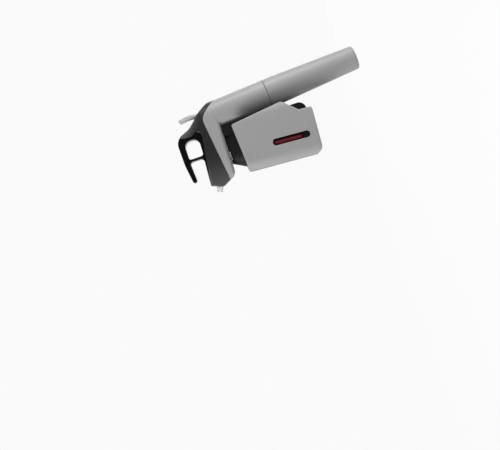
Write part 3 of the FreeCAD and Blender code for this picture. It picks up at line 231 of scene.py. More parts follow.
class Finish(Nodes):
    """A material round one Principled shader, whose sockets' names take _ for a space."""

    def __init__(self, name, **constants):
        self.material = bpy.data.materials.new(name)
        self.material.use_nodes = True
        super().__init__(self.material.node_tree)
        self.shader = self.node("ShaderNodeBsdfPrincipled")
        self.output = self.node("ShaderNodeOutputMaterial", None, {"Surface": self.shader})
        self.paint(**constants)

    def paint(self, **sockets):
        self.feed(self.shader.node,
                  {name.replace("_", " "): value for name, value in sockets.items()})

    def place(self):
        return self.node("ShaderNodeTexCoord").other("Object")

    def noise(self, scale, detail=2.0, roughness=0.5, vector=None):
        return self.node("ShaderNodeTexNoise", None, {
            "Vector": vector or self.place(), "Scale": scale, "Detail": detail,
            "Roughness": roughness})

    def patches(self, scale, detail, roughness, low, high, vector=None):
        """0 to 1 where noise rises from low to high."""
        return self.spread(self.noise(scale, detail, roughness, vector), low, high)

    def dot(self, first, second):
        return self.node("ShaderNodeVectorMath", {"operation": "DOT_PRODUCT"},
                         {0: first, 1: second}, output="Value")

    def along(self, direction, vector=None):
        """How far along a direction a point lies."""
        return self.dot(vector or self.place(), tuple(direction))

    def mix(self, factor, first, second):
        return self.node("ShaderNodeMix", {"data_type": "RGBA"},
                         {0: factor, 6: rgba(first), 7: rgba(second)}, output=2)

    def rounded_normal(self, radius):
        return self.node("ShaderNodeBevel", {"samples": 4}, {"Radius": radius})

    def rubbed_edges(self, rounded):
        """1 on the crest of an outer edge, 0 on flat ground."""
        plain = self.node("ShaderNodeNewGeometry").other("Normal")
        return self.spread(1 - self.dot(rounded, plain), *CREST)

    def bump(self, height, distance, strength=1.0, normal=None):
        values = {"Height": height, "Distance": distance, "Strength": strength}
        if normal is not None:
            values["Normal"] = normal
        return self.node("ShaderNodeBump", None, values)

    def eased(self, normal, eases):
        """Turns the normals of flat sides as if they fell away, and says how far they fall.

        An ease is a direction, where along it the fall starts and ends, and its depth. Three
        more values confine it: another direction, and where along it the fall fades in.
        """
        place = self.place()
        total = 0.0
        for direction, start, end, depth, *within in eases:
            share_out = self.spread(self.along(direction, place), start, end)
            fall = share_out * share_out
            if within:
                fall = fall * self.spread(self.along(within[0], place), *within[1:])
            normal = self.bump(fall * -1.0, depth, normal=normal)
            total = fall + total
        return normal, total

    def satin(self, tone, roughness, wear, rounded):
        """Tone, roughness and rubbed edges of a moulded or sprayed surface."""
        mottle = self.noise(*MOTTLE)
        edges = self.rubbed_edges(rounded) * self.patches(*RUBBING) * wear
        base = self.mix(mottle, *(scaled(tone, level) for level in MOTTLE_TONES))
        handled = self.patches(*HANDLING) * (HANDLING_ROUGH * wear)
        return base, roughness + (mottle - NOISE_MEAN) * MOTTLE_ROUGH + handled, edges

    def grained(self, depth, normal):
        """Normal with the fine grain of a moulded or sprayed surface."""
        grain = self.noise(*FINE_GRAIN) + self.noise(*COARSE_GRAIN) * COARSE_SHARE
        return self.bump(grain, depth, FINE_STRENGTH, normal)


def rgba(value):
    return value if isinstance(value, Value) else (*tuple(value)[:3], 1.0)


def scaled(tone, factor):
    return tuple(min(1.0, channel * factor) for channel in tone)


# ---------------------------------------------------------------- finishes
# Noise: its scale, detail and roughness
MOTTLE = (38.0, 4.0, 0.6)
FINE_GRAIN = (2600.0, 2.0)
COARSE_GRAIN = (900.0, 2.0)
RIPPLE = (160.0, 1.0)
STAINS = (120.0, 4.0, 0.6)
RUBBER_SKIN = (1900.0, 3.0, 0.6)
# Patches: the same, then the levels of the noise between which they come up
HANDLING = (210.0, 5.0, 0.65, 0.52, 0.72)
RUBBING = (420.0, 3.0, 0.5, 0.42, 0.6)
GLOSS_RUBBING = (500.0, 2.0, 0.5, 0.45, 0.6)
HAIRLINES = (1.0, 2.0, 0.5, 0.66, 0.74)
SMUDGES = (95.0, 4.0, 0.6, 0.45, 0.75)
BLOOM = (260.0, 5.0, 0.7, 0.45, 0.75)
HAIRLINE_RUN = {"Rotation": (0.3, 0.5, 0.2), "Scale": (60.0, 2400.0, 2400.0)}
TURNING_RINGS = {"Scale": 2200.0, "Detail": 3.0}
NOISE_MEAN = 0.5
# Rise of 1 - cosine, from the flat to the crest of an edge
CREST = (0.01, 0.22)

# How much of a tone is left at a layer's low and high
MOTTLE_TONES = (0.95, 1.05)
STAIN_TONES = (0.86, 1.06)
THREAD_TONE = 0.7
MOULDED_CREST = 1.5
GLOSS_CREST = 3.0
METAL_CREST = 1.25
DUST_LEFT, DUST = 0.9, 0.02     # share of the tone that dust leaves, and what it adds
DUST_IN_BLOOM, DUST_ON_EDGES = 0.35, 0.5

# How much a layer adds to the roughness, or takes off it
MOTTLE_ROUGH = 0.08
HANDLING_ROUGH = 0.07
RUBBED_SMOOTH = 0.1
THREAD_SMOOTH = 0.08
SMUDGE_ROUGH = 0.10
HAIRLINE_ROUGH = 0.12
RING_ROUGH = 0.16
STAIN_ROUGH = 0.10
BLOOM_ROUGH = 0.10
DUSTY_ROUGH = 0.12

# Radii of worn edges, and depths of relief
MOULDED_EDGE = 0.25 * MM
SOFT_EDGE = 0.2 * MM
TURNED_EDGE = 0.12 * MM
GRAIN_DEPTH = 0.02 * MM
RIPPLE_DEPTH = 0.03 * MM
SKIN_DEPTH = 0.03 * MM
RING_DEPTH = 0.012 * MM
THREAD_DEPTH = 0.35 * MM
HAIRLINE_DEPTH = 0.05           # of the ripple's
COARSE_SHARE = 0.6              # of the fine grain's
FINE_STRENGTH = 0.5             # of the grain, the turning rings and the rubber's skin
RIPPLE_STRENGTH = 0.35

# Where the flat sides fall away, as Finish.eased takes them; on the cover they also place its
# painted sheen
LEG_EASE = ((1, 0, 0), 18 * MM, -30 * MM, 12 * MM)
COVER_EASE = ((1, 0, 0), 15 * MM, -37 * MM, 20 * MM)
HANDLE_EASE = ((0.788, 0, 0.615), 57 * MM, 65 * MM, 3 * MM, (0, 0, 1), 38 * MM, 54 * MM)

# The cup's thread fades in at its wall, and at its foot, in the tube's frame
THREAD_WALL = (14.6 * MM, 14.2 * MM)
THREAD_FOOT = (-84.5 * MM, -83.9 * MM)

LACQUER = {"Coat_Weight": 0.12, "Coat_Roughness": 0.35}
FINISHES = {}


def moulded(name, tone, roughness, wear, grain=1.0, edge_tone=MOULDED_CREST, eases=(),
            painted_sheen_tone=1.0, **constants):
    """Moulded or sprayed surface: fine grain, faint mottling, handling marks, rubbed edges, and a
    painted sheen where eased sides fall away.
    """
    finish = Finish(name, **constants)
    rounded = finish.rounded_normal(MOULDED_EDGE)
    base, rough, edges = finish.satin(tone, roughness, wear, rounded)
    normal, fall = finish.eased(rounded, eases)
    # Painted sheen: where the eased sides fall away, the tone is painted lighter, for the light
    # they would catch
    if painted_sheen_tone != 1.0:
        base = finish.mix(fall.clamped(), base, scaled(tone, painted_sheen_tone))
    finish.paint(
        Base_Color=finish.mix(edges, base, scaled(tone, edge_tone)),
        Roughness=(rough - edges * RUBBED_SMOOTH).clamped(),
        Normal=finish.grained(GRAIN_DEPTH * grain, normal))
    return finish.material


def threaded(name, tone, roughness, wear, pitch, **constants):
    """The cup: satin outside as the housing, with the turns of a thread in its bore."""
    finish = Finish(name, **constants)
    rounded = finish.rounded_normal(MOULDED_EDGE)
    base, rough, edges = finish.satin(tone, roughness, wear, rounded)
    local = finish.node("ShaderNodeMapping", {"vector_type": "TEXTURE"}, {
        "Vector": finish.place(), "Location": tuple(TUBE.translation),
        "Rotation": tuple(TUBE.to_euler())})
    parts = finish.node("ShaderNodeSeparateXYZ", None, {0: local})
    x, y, z = (parts.other(name) for name in "XYZ")
    inside = (finish.spread((x * x + y * y) ** 0.5, *THREAD_WALL)
              * finish.spread(z, *THREAD_FOOT))
    turns = z / pitch + finish.maths("ARCTAN2", y, x) / (2 * math.pi)
    ridges = finish.maths("PINGPONG", turns, 0.5) * 2
    grained = finish.grained(GRAIN_DEPTH, rounded)
    finish.paint(
        Base_Color=finish.mix(inside, finish.mix(edges, base, scaled(tone, MOULDED_CREST)),
                              scaled(tone, THREAD_TONE)),
        Roughness=(rough - inside * THREAD_SMOOTH).clamped(),
        Normal=finish.bump(ridges * inside, THREAD_DEPTH, normal=grained))
    return finish.material


def polished(name, tone, roughness, wear, **constants):
    """Glossy moulding: hairline scratches, smudges and a slight ripple."""
    finish = Finish(name, **constants)
    rounded = finish.rounded_normal(SOFT_EDGE)
    stretched = finish.node("ShaderNodeMapping", None, {"Vector": finish.place(), **HAIRLINE_RUN})
    hairlines = finish.patches(*HAIRLINES, stretched)
    smudges = finish.patches(*SMUDGES)
    edges = finish.rubbed_edges(rounded) * finish.patches(*GLOSS_RUBBING) * wear
    finish.paint(
        Base_Color=finish.mix(edges, tone, scaled(tone, GLOSS_CREST)),
        Roughness=(roughness + smudges * (SMUDGE_ROUGH * wear)
                   + hairlines * (HAIRLINE_ROUGH * wear)).clamped(),
        Normal=finish.bump(finish.noise(*RIPPLE) - hairlines * (HAIRLINE_DEPTH * wear),
                           RIPPLE_DEPTH, RIPPLE_STRENGTH, rounded))
    return finish.material


def turned_metal(name, tone, roughness, axis, wear):
    """Bare metal with fine turning rings across an axis, stains and bright edges."""
    finish = Finish(name, Metallic=1.0)
    rounded = finish.rounded_normal(TURNED_EDGE)
    rings = finish.node("ShaderNodeTexNoise", {"noise_dimensions": "1D"},
                        {"W": finish.along(axis), **TURNING_RINGS})
    stains = finish.noise(*STAINS)
    edges = finish.rubbed_edges(rounded) * wear
    base = finish.mix(stains, *(scaled(tone, level) for level in STAIN_TONES))
    finish.paint(
        Base_Color=finish.mix(edges, base, scaled(tone, METAL_CREST)),
        Roughness=(roughness + (rings - NOISE_MEAN) * RING_ROUGH
                   + (stains - NOISE_MEAN) * STAIN_ROUGH).clamped(),
        Normal=finish.bump(rings, RING_DEPTH, FINE_STRENGTH, rounded))
    return finish.material


def elastomer(name, tone, roughness, wear, **constants):
    """Rubbery surface: fine moulded texture, dusty bloom on the high spots."""
    finish = Finish(name, **constants)
    rounded = finish.rounded_normal(SOFT_EDGE)
    bloom = finish.patches(*BLOOM)
    edges = finish.rubbed_edges(rounded) * wear
    dusty = tuple(channel * DUST_LEFT + DUST for channel in tone)
    dusted = (bloom * DUST_IN_BLOOM + edges * DUST_ON_EDGES).clamped()
    finish.paint(
        Base_Color=finish.mix(dusted, tone, dusty),
        Roughness=(roughness + bloom * BLOOM_ROUGH + edges * DUSTY_ROUGH).clamped(),
        Normal=finish.bump(finish.noise(*RUBBER_SKIN), SKIN_DEPTH, FINE_STRENGTH, rounded))
    return finish.material


def make_finishes(settings, thread_pitch):
    """Materials by the record's slot names, and the cup's own."""
    wear = settings.wear
    grey = settings.housing_roughness
    return {
        "housing_grey": moulded("Satin grey", settings.housing, grey, wear, eases=[LEG_EASE],
                                **LACQUER),
        "cup_grey": threaded("Satin grey cup", settings.housing, grey, wear, thread_pitch,
                             **LACQUER),
        "arm_grey": moulded("Satin grey arms", settings.arm, grey + 0.06, wear),
        # The charcoal's tone is painted up to nine times lighter towards the spout end and the
        # handle's back: a painted sheen
        "cover_charcoal": moulded("Satin charcoal", settings.cover, settings.cover_roughness, wear,
                                  grain=0.8, edge_tone=3.0, Specular_IOR_Level=0.22,
                                  eases=[COVER_EASE, HANDLE_EASE], painted_sheen_tone=9.0),
        "inlay_black": polished("Polished black", settings.inlay, settings.inlay_roughness, wear,
                                Specular_IOR_Level=0.06),
        "clamp_black": moulded("Matt black", settings.clamp, 0.50, wear, grain=1.6, edge_tone=2.5,
                               Specular_IOR_Level=0.12),
        "rail_black": moulded("Smooth black", settings.rail, 0.36, wear, grain=0.5, edge_tone=2.5),
        "grip_red": elastomer("Dark red elastomer", settings.grip, 0.34, wear,
                              Coat_Weight=0.12, Coat_Roughness=0.22, Specular_IOR_Level=0.25),
        "soft_black": elastomer("Black elastomer", settings.rubber, 0.58, wear),
        "trigger_silver": moulded("Satin silver", settings.trigger, 0.36, wear, grain=0.7,
                                  edge_tone=1.2),
        "steel": turned_metal("Stainless steel", (0.56, 0.56, 0.57), 0.24, (0, 0, 1), wear),
        "capsule_steel": turned_metal("Plated steel", (0.60, 0.60, 0.60), 0.22, TUBE_AXIS, wear),
        "regulator_metal": turned_metal("Turned aluminium", (0.62, 0.62, 0.63), 0.30, TUBE_AXIS,
                                        wear),
        "valve_brass": turned_metal("Turned brass", (0.70, 0.52, 0.25), 0.26, TUBE_AXIS, wear),
        "spout_clear": polished("Pale polymer", settings.spout, 0.55, wear, IOR=1.35,
                                Transmission_Weight=0.7),
        "bush_polymer": moulded("Low-friction polymer", (0.6, 0.6, 0.58), 0.34, wear, grain=0.5),
    }


def finish_of(slot):
    """A slot's material. All of them are made at the first use, from the settings."""
    if not FINISHES:
        scene = bpy.context.scene
        FINISHES.update(make_finishes(scene.dispenser_finish, scene.dispenser_detail.thread_pitch))
    return FINISHES[slot]


def dress(names):
    """Gives frame nodes the finish of their slots."""
    for name in names:
        slot = "cup_grey" if name == "capsule_cup" else SLOT_OF[name]
        NODES[name].data.materials.clear()
        NODES[name].data.materials.append(finish_of(slot))


# ---------------------------------------------------------------- mesh building
ON_AXIS = 1e-7
STRAIGHT = 1e-4
NO_OFFSET = 1e-9
SAME_PLACE_DIGITS = 9


def piece(name, bm, slot, body, replaced=(), sharp=50):
    """Turns a bmesh into a piece that rides on a body and takes a slot's finish."""
    bmesh.ops.recalc_face_normals(bm, faces=bm.faces)
    mesh = bpy.data.meshes.new(name)
    bm.to_mesh(mesh)
    bm.free()
    mesh.shade_smooth()
    mesh.set_sharp_from_angle(angle=math.radians(sharp))
    mesh.materials.append(finish_of(slot))
    made = bpy.data.objects.new(name, mesh)
    bpy.context.scene.collection.objects.link(made)
    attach(made, body)
    for node in replaced:
        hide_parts(node)


def heights(node, local):
    """Lowest and highest that a node reaches along the Z of a local frame."""
    back = local.inverted()
    found = [(back @ vertex.co).z for vertex in NODES[node].data.vertices]
    return min(found), max(found)


def in_mm(corners):
    return [tuple(value * MM for value in corner) for corner in corners]


def rounded_ring(corners, steps):
    """Closed profile through (radius, height, rounding) corners."""
    points = []
    count = len(corners)
    for i, (r, z, rounding) in enumerate(corners):
        here = Vector((r, z))
        back = (Vector(corners[i - 1][:2]) - here).normalized()
        ahead = (Vector(corners[(i + 1) % count][:2]) - here).normalized()
        half = back.angle(ahead) / 2
        if rounding <= 0 or half > math.pi / 2 - STRAIGHT:
            points.append(here)
            continue
        centre = here + (back + ahead).normalized() * (rounding / math.sin(half))
        start = here + back * (rounding / math.tan(half)) - centre
        end = here + ahead * (rounding / math.tan(half)) - centre
        sweep = math.atan2(start.x * end.y - start.y * end.x, start.dot(end))
        for step in range(steps + 1):
            angle = sweep * step / steps
            turned = Vector((start.x * math.cos(angle) - start.y * math.sin(angle),
                             start.x * math.sin(angle) + start.y * math.cos(angle)))
            points.append(centre + turned)
    return points


def lathe(bm, profile, local, around=96, squeeze=None):
    """Turns a closed (radius, height) profile about a frame's Z. Squeeze may move the radius."""
    rings = []
    for r, z in profile:
        if r < ON_AXIS:
            rings.append([bm.verts.new(local @ Vector((0, 0, z)))])
            continue
        ring = []
        for i in range(around):
            angle = 2 * math.pi * i / around
            reach = squeeze(r, z, angle) if squeeze else r
            ring.append(bm.verts.new(
                local @ Vector((reach * math.cos(angle), reach * math.sin(angle), z))))
        rings.append(ring)
    for ring, following in zip(rings, rings[1:] + rings[:1]):
        if len(ring) == 1 and len(following) == 1:
            continue
        for i in range(around):
            j = (i + 1) % around
            corners = [ring[i % len(ring)], ring[j % len(ring)],
                       following[j % len(following)], following[i % len(following)]]
            bm.faces.new(list(dict.fromkeys(corners)))


def ticks(half, rounding, count, edge=4):
    """Grid lines from -half to half, closer together where the edges are rounded."""
    inner = half - rounding
    low = [-half + rounding * i / edge for i in range(edge)]
    middle = [-inner + 2 * inner * i / count for i in range(count + 1)]
    return low + middle + [-value for value in reversed(low)]


def rounded_slab(bm, halves, rounding, counts, place):
    """Closed block with rounded edges. Place puts each (u, v, w) where it belongs."""
    lines = [ticks(half, rounding, count) for half, count in zip(halves, counts)]
    made = {}

    def vertex(point):
        key = tuple(round(value, SAME_PLACE_DIGITS) for value in point)
        if key not in made:
            core = Vector([max(-(h - rounding), min(h - rounding, p))
                           for p, h in zip(point, halves)])
            offset = Vector(point) - core
            if offset.length > NO_OFFSET:
                offset = offset.normalized() * rounding
            made[key] = bm.verts.new(place(*(core + offset)))
        return made[key]

    for axis in range(3):
        first, second = [a for a in range(3) if a != axis]
        for side in (-halves[axis], halves[axis]):
            for a0, a1 in zip(lines[first], lines[first][1:]):
                for b0, b1 in zip(lines[second], lines[second][1:]):
                    corners = []
                    for a, b in ((a0, b0), (a1, b0), (a1, b1), (a0, b1)):
                        point = [0.0, 0.0, 0.0]
                        point[axis], point[first], point[second] = side, a, b
                        corners.append(vertex(point))
                    bm.faces.new(corners)


# Section of a thread's ridge: places along the axis and outwards, as shares of its width and
# height. The ridge's root lies below the surface that carries it.
ROOT = -0.25
RIDGE = ((-0.5, ROOT), (-0.28, 0.55), (-0.1, 1.0), (0.1, 1.0), (0.28, 0.55), (0.5, ROOT))


def helix(bm, local, radius, low, high, pitch, height, width, around=72):
    """Thread ridge with a rounded crest that fades in and out at its ends."""
    count = int((high - low - width) / pitch * around)
    fade_steps = around / 3
    rows = []
    for i in range(count + 1):
        angle = 2 * math.pi * i / around
        middle = low + width / 2 + pitch * i / around
        fade = min(1.0, i / fade_steps, (count - i) / fade_steps)
        row = []
        for along, out in RIDGE:
            reach = radius + height * fade * out
            row.append(bm.verts.new(local @ Vector((
                reach * math.cos(angle), reach * math.sin(angle), middle + width * along))))
        rows.append(row)
    for row, following in zip(rows, rows[1:]):
        for j in range(len(RIDGE)):
            k = (j + 1) % len(RIDGE)
            bm.faces.new([row[j], row[k], following[k], following[j]])
    bm.faces.new(rows[0])
    bm.faces.new(list(reversed(rows[-1])))


# ---------------------------------------------------------------- soft parts
NECK_R = 14.3 * MM
GRIP_OUTER = 17.4 * MM
GRIP_SPREAD = math.radians(42)  # half the arc that a grip pad covers
GRIP_MESH = (26, 160, 2)
GRIP_RIM = 0.08                 # share of a pad, at its rim, over which the ribs die out

ARM_LEAN = 0.056                # of the arm's slot against the neck
BAR_X = -1.3 * MM
BAR_BOTTOM = -63.0 * MM
BAR_TOP = -28.8 * MM
BAR_HALF_WIDTH = 3.45 * MM
BAR_HALF_DEPTH = 4.9 * MM
BAR_ROUND = 3.35 * MM
BAR_MESH = (2, 24, 4)

REST_HALF_DEPTH = 4.0 * MM
REST_MESH = (14, 152, 4)
REST_RIM = 0.1

LIP_HOLE_R = 5.0 * MM
BEADS = 8
BEAD_OUTER = 14.6 * MM
BEAD_PITCH = 1.2 * MM
BEAD_HEIGHT = 0.35 * MM
BEAD_ROUND = 0.25 * MM

# Radius, height and rounding of the corners, in millimetres
CUSHION = ((2.5, 0, 0.3), (9.2, 0, 0.5), (9.2, 4.0, 0.9), (7.6, 4.0, 0.6), (6.8, 3.5, 0.5),
           (3.4, 3.3, 0.4), (2.5, 3.6, 0.3))

SPOUT_RING_R = 4.25 * MM
SPOUT_RING_SECTION = 0.60 * MM
SPOUT_RING_STEPS = 20
MOULD_FLASH = 0.02 * MM

CAPSULE_WASHER = (1.7 * MM, 4.3 * MM)   # inner and outer radius
CUP_WASHER = (13.6 * MM, 15.9 * MM)
CUP_WASHER_REACH = (0.03 * MM, 0.29 * MM)   # above the cup's rim


def rib(distance, detail):
    """Depth of the grooves between ribs, at a distance across them."""
    return detail.rib_depth * (0.5 - 0.5 * math.cos(2 * math.pi * distance / detail.rib_pitch)) ** 2


def rim_fade(u, v, halves, rim):
    """1 over a pad's middle, and down to 0 at its rim."""
    inset = max(abs(u) / halves[0], abs(v) / halves[1])
    return max(0.0, min(1.0, (1 - inset) / rim))


def grip_pad(side, detail):
    """Ribbed saddle round the neck, with the crowned bar that fills the arm's slot."""
    sign = -1 if side == "left" else 1
    node = side + "_grip_pad"
    low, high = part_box(node)
    middle_r = (NECK_R + GRIP_OUTER) / 2
    middle_z = (low.z + high.z) / 2
    halves = (GRIP_SPREAD * middle_r, (high.z - low.z) / 2, (GRIP_OUTER - NECK_R) / 2)

    def saddle(u, v, w):
        facing = (halves[2] - w) / (2 * halves[2])
        reach = middle_r + w + facing * rim_fade(u, v, halves, GRIP_RIM) * rib(v, detail)
        angle = u / middle_r
        return Vector((reach * math.sin(angle), sign * reach * math.cos(angle), middle_z + v))

    bar_halves = (BAR_HALF_WIDTH, (BAR_TOP - BAR_BOTTOM) / 2, BAR_HALF_DEPTH)
    bar_y = abs(low.y if sign < 0 else high.y) - BAR_HALF_DEPTH
    bar_z = (BAR_BOTTOM + BAR_TOP) / 2

    def bar(u, v, w):
        return Vector((BAR_X + ARM_LEAN * (bar_z + v) + u, sign * (bar_y + w), bar_z + v))

    bm = bmesh.new()
    rounded_slab(bm, halves, detail.pad_round, GRIP_MESH, saddle)
    rounded_slab(bm, bar_halves, BAR_ROUND, BAR_MESH, bar)
    piece(side + "_grip", bm, "grip_red", side + "_arm", [node])


def neck_rest(detail):
    """Ribbed saddle on the column's front."""
    low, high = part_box("neck_rest")
    halves = (high.y, (high.z - low.z) / 2, REST_HALF_DEPTH)
    middle_z = (low.z + high.z) / 2

    def saddle(u, v, w):
        share_back = (w + halves[2]) / (2 * halves[2])
        front = math.sqrt(NECK_R ** 2 - u * u)
        front += rim_fade(u, v, halves, REST_RIM) * (1 - share_back) * rib(v, detail)
        return Vector((front + share_back * (high.x - front), u, middle_z + v))

    bm = bmesh.new()
    rounded_slab(bm, halves, detail.pad_round, REST_MESH, saddle)
    piece("neck_saddle", bm, "soft_black", "clamp", ["neck_rest"])


def lip_ring():
    """Ring on which the bottle's lip seats, with fine sealing beads."""
    low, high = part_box("lip_pad")
    beads = [(BEAD_OUTER - BEAD_PITCH * i, low.z + (BEAD_HEIGHT if i % 2 else 0.0), BEAD_ROUND)
             for i in range(BEADS)]
    corners = [(LIP_HOLE_R, high.z, 0.4 * MM), (high.x, high.z, 0.5 * MM),
               (high.x, low.z, 0.6 * MM), *beads, (LIP_HOLE_R, low.z, 0.5 * MM)]
    bm = bmesh.new()
    lathe(bm, rounded_ring(corners, steps=3), Matrix.Identity(4))
    piece("lip_ring", bm, "soft_black", "clamp", ["lip_pad"])


def cup_cushion():
    """Washer under the capsule: dished, with a beaded edge."""
    low, _ = heights("cup_pad", TUBE)
    bm = bmesh.new()
    lathe(bm, rounded_ring(in_mm(CUSHION), steps=4), TUBE @ Matrix.Translation((0, 0, low)))
    piece("cup_cushion", bm, "soft_black", "cup_pad", ["cup_pad"])


def spout_ring():
    """O-ring round the spout, with its mould flash."""
    low, high = heights("spout_seal", SPOUT)
    profile = []
    for i in range(SPOUT_RING_STEPS):
        angle = 2 * math.pi * i / SPOUT_RING_STEPS
        reach = SPOUT_RING_SECTION + (0 if i % (SPOUT_RING_STEPS // 2) else MOULD_FLASH)
        profile.append((SPOUT_RING_R + reach * math.cos(angle), reach * math.sin(angle)))
    bm = bmesh.new()
    lathe(bm, profile, SPOUT @ Matrix.Translation((0, 0, (low + high) / 2)), around=64)
    piece("spout_ring", bm, "soft_black", "head", ["spout_seal"], sharp=60)


def washer(name, radii, low, high, roundings, steps, around, replaced=()):
    """Flat washer round the tube's axis. Radii and roundings are its inner and outer ones."""
    (inner, outer), (inner_round, outer_round) = radii, roundings
    corners = [(inner, low, inner_round), (outer, low, outer_round), (outer, high, outer_round),
               (inner, high, inner_round)]
    bm = bmesh.new()
    lathe(bm, rounded_ring(corners, steps), TUBE, around)
    piece(name, bm, "soft_black", "head", replaced, sharp=60)


def capsule_washer():
    """Washer that the capsule's neck is pressed on."""
    low, high = heights("capsule_seal", TUBE)
    washer("capsule_washer", CAPSULE_WASHER, low, high, (0.25 * MM, 0.3 * MM), steps=4,
           around=64, replaced=["capsule_seal"])


def cup_washer():
    """Thin washer in the seam between the housing and the cup."""
    _, rim = heights("capsule_cup", TUBE)
    low, high = (rim + reach for reach in CUP_WASHER_REACH)
    washer("cup_washer", CUP_WASHER, low, high, (0.1 * MM, 0.1 * MM), steps=3, around=128)


# ---------------------------------------------------------------- fittings
HEAD_HEIGHT = 1.6 * MM
SOCKET_DEPTH = 0.9 * MM
SOCKET_CHAMFER = 0.12 * MM
SOCKET_FLOOR = 1.0 * MM         # depth of the socket's drilled point
HEXAGON_FOOT = 0.3 * MM         # the hexagon shapes only what lies above this
SOCKET_RIM = 1.5                # of the socket's radius, where its chamfer starts
SOCKET_EDGE = 0.1 * MM
HEXAGON_REACH = 1.02            # of the socket's radius, and round beyond it
HEAD_EDGE = 0.2 * MM            # roundings of the head, below and above
HEAD_DOME = 0.55 * MM
SCREW_CORE = 0.82               # of the shank's radius
SCREW_TIP, SCREW_TAPER = 0.5, 0.6   # the tip's radius and its taper, of the core's radius
SCREW_PITCH = 0.5 * MM
SCREW_RIDGE = 0.42 * MM
SCREW_THREAD = (0.6 * MM, -0.4 * MM)    # start above the tip, and end under the head

COLLAR_CORE_R = 13.2 * MM
COLLAR_RIDGE = 1.3 * MM
COLLAR_THREAD = (1.2 * MM, 17 * MM)     # start and end above the collar's foot


def screw(bm, local, shank_length, detail):
    """Pan-head screw, head's underside at Z = 0, with a hexagon socket and a rolled thread."""
    head_r, shank_r, flats = detail.screw_head, detail.screw_shank, detail.screw_socket
    core = shank_r * SCREW_CORE

    def hexagon(r, z, angle):
        if r > flats * HEXAGON_REACH or z < HEXAGON_FOOT:
            return r
        sector = math.pi / 3
        return flats / math.cos((angle % sector) - sector / 2)

    outside = rounded_ring([
        (0, -shank_length, 0), (core * SCREW_TIP, -shank_length, 0),
        (core, -shank_length + core * SCREW_TAPER, 0), (core, 0, 0), (head_r, 0, HEAD_EDGE),
        (head_r, HEAD_HEIGHT, HEAD_DOME), (flats * SOCKET_RIM, HEAD_HEIGHT, SOCKET_EDGE),
        (flats, HEAD_HEIGHT - SOCKET_CHAMFER, 0), (flats, HEAD_HEIGHT - SOCKET_DEPTH, 0),
        (0, HEAD_HEIGHT - SOCKET_FLOOR, 0)], steps=4)
    lathe(bm, outside, local, around=48, squeeze=hexagon)
    start, end = SCREW_THREAD
    helix(bm, local, core, start - shank_length, end, SCREW_PITCH, shank_r - core, SCREW_RIDGE,
          around=28)


def screw_pair(node, name, body, axis, head_high, detail):
    """Two screws in place of a node's two. Their places come from the node's box."""
    low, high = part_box(node)
    spread_axis = max((a for a in range(3) if a != axis), key=lambda a: high[a] - low[a])
    shank_length = high[axis] - low[axis] - HEAD_HEIGHT
    direction = Vector((0, 0, 0))
    direction[axis] = 1 if head_high else -1
    turn = direction.to_track_quat("Z", "Y").to_matrix().to_4x4()
    bm = bmesh.new()
    for end, inset in ((low, detail.screw_head), (high, -detail.screw_head)):
        point = (low + high) / 2
        point[spread_axis] = end[spread_axis] + inset
        point[axis] = high[axis] - HEAD_HEIGHT if head_high else low[axis] + HEAD_HEIGHT
        screw(bm, Matrix.Translation(point) @ turn, shank_length, detail)
    piece(name, bm, "steel", body, [node], sharp=35)


def collar_thread(detail):
    """Thread on the regulator's collar, which the cup screws on."""
    foot, _ = heights("regulator_body", TUBE)
    start, end = COLLAR_THREAD
    bm = bmesh.new()
    helix(bm, TUBE, COLLAR_CORE_R, foot + start, foot + end, detail.thread_pitch,
          detail.thread_height, COLLAR_RIDGE)
    piece("collar_thread", bm, "regulator_metal", "head")


# ---------------------------------------------------------------- stage
ACROSS = Vector((-0.314, 0, -0.9494))
UPWARD = Vector((0.9494, 0, -0.314))
TOWARD = Vector((0, -1, 0))
SENSOR_WIDTH = 36.0
CAMERA_AIM = Vector((-0.080, 0, 0.0235))
LAMP_AIM = Vector((0.020, 0, -0.040))
LAMPS = (  # name, diameter, and how far up, toward the camera and across the lamp stands
    ("Key", 0.55, 0.90, 0.32, -0.30),
    ("Front", 0.70, 0.60, 1.00, -0.20),
    ("Fill", 0.60, -0.95, 0.32, -0.30),
    ("Side", 0.60, -0.10, 0.42, 0.95),
    ("Back", 1.00, 0.50, -1.20, -0.50),
)
FLOOR_R = 4.0
FLOOR_STEPS = 96
FLOOR_GLOW = 0.95               # how far the floor shows as the backdrop does
WHITE = (1.0, 1.0, 1.0, 1.0)


def add_camera(settings):
    data = bpy.data.cameras.new("Camera")
    data.lens = settings.lens
    data.sensor_width = SENSOR_WIDTH
    camera = bpy.data.objects.new("Camera", data)
    turn = Matrix((ACROSS, UPWARD, TOWARD)).transposed()
    place = CAMERA_AIM + TOWARD * settings.distance
    camera.matrix_world = Matrix.Translation(place) @ turn.to_4x4()
    bpy.context.scene.collection.objects.link(camera)
    bpy.context.scene.camera = camera


def add_lamp(name, energy, size, offset):
    """Round area lamp that looks at the dispenser."""
    data = bpy.data.lights.new(name, "AREA")
    data.energy = energy
    data.shape = "DISK"
    data.size = size
    lamp = bpy.data.objects.new(name, data)
    lamp.location = LAMP_AIM + offset
    lamp.rotation_mode = "QUATERNION"
    lamp.rotation_quaternion = (-offset).to_track_quat("-Z", "Y")
    bpy.context.scene.collection.objects.link(lamp)


def add_room(settings):
    """Room light for surfaces, and a pale backdrop for what sees it directly."""
    world = bpy.data.worlds.new("Room")
    world.use_nodes = True
    bpy.context.scene.world = world
    room = Nodes(world.node_tree)
    level = room.spread(room.seen_directly(), 0.0, 1.0, settings.ambient, settings.background)
    light = room.node("ShaderNodeBackground", None, {"Color": WHITE, "Strength": level})
    room.node("ShaderNodeOutputWorld", None, {"Surface": light})


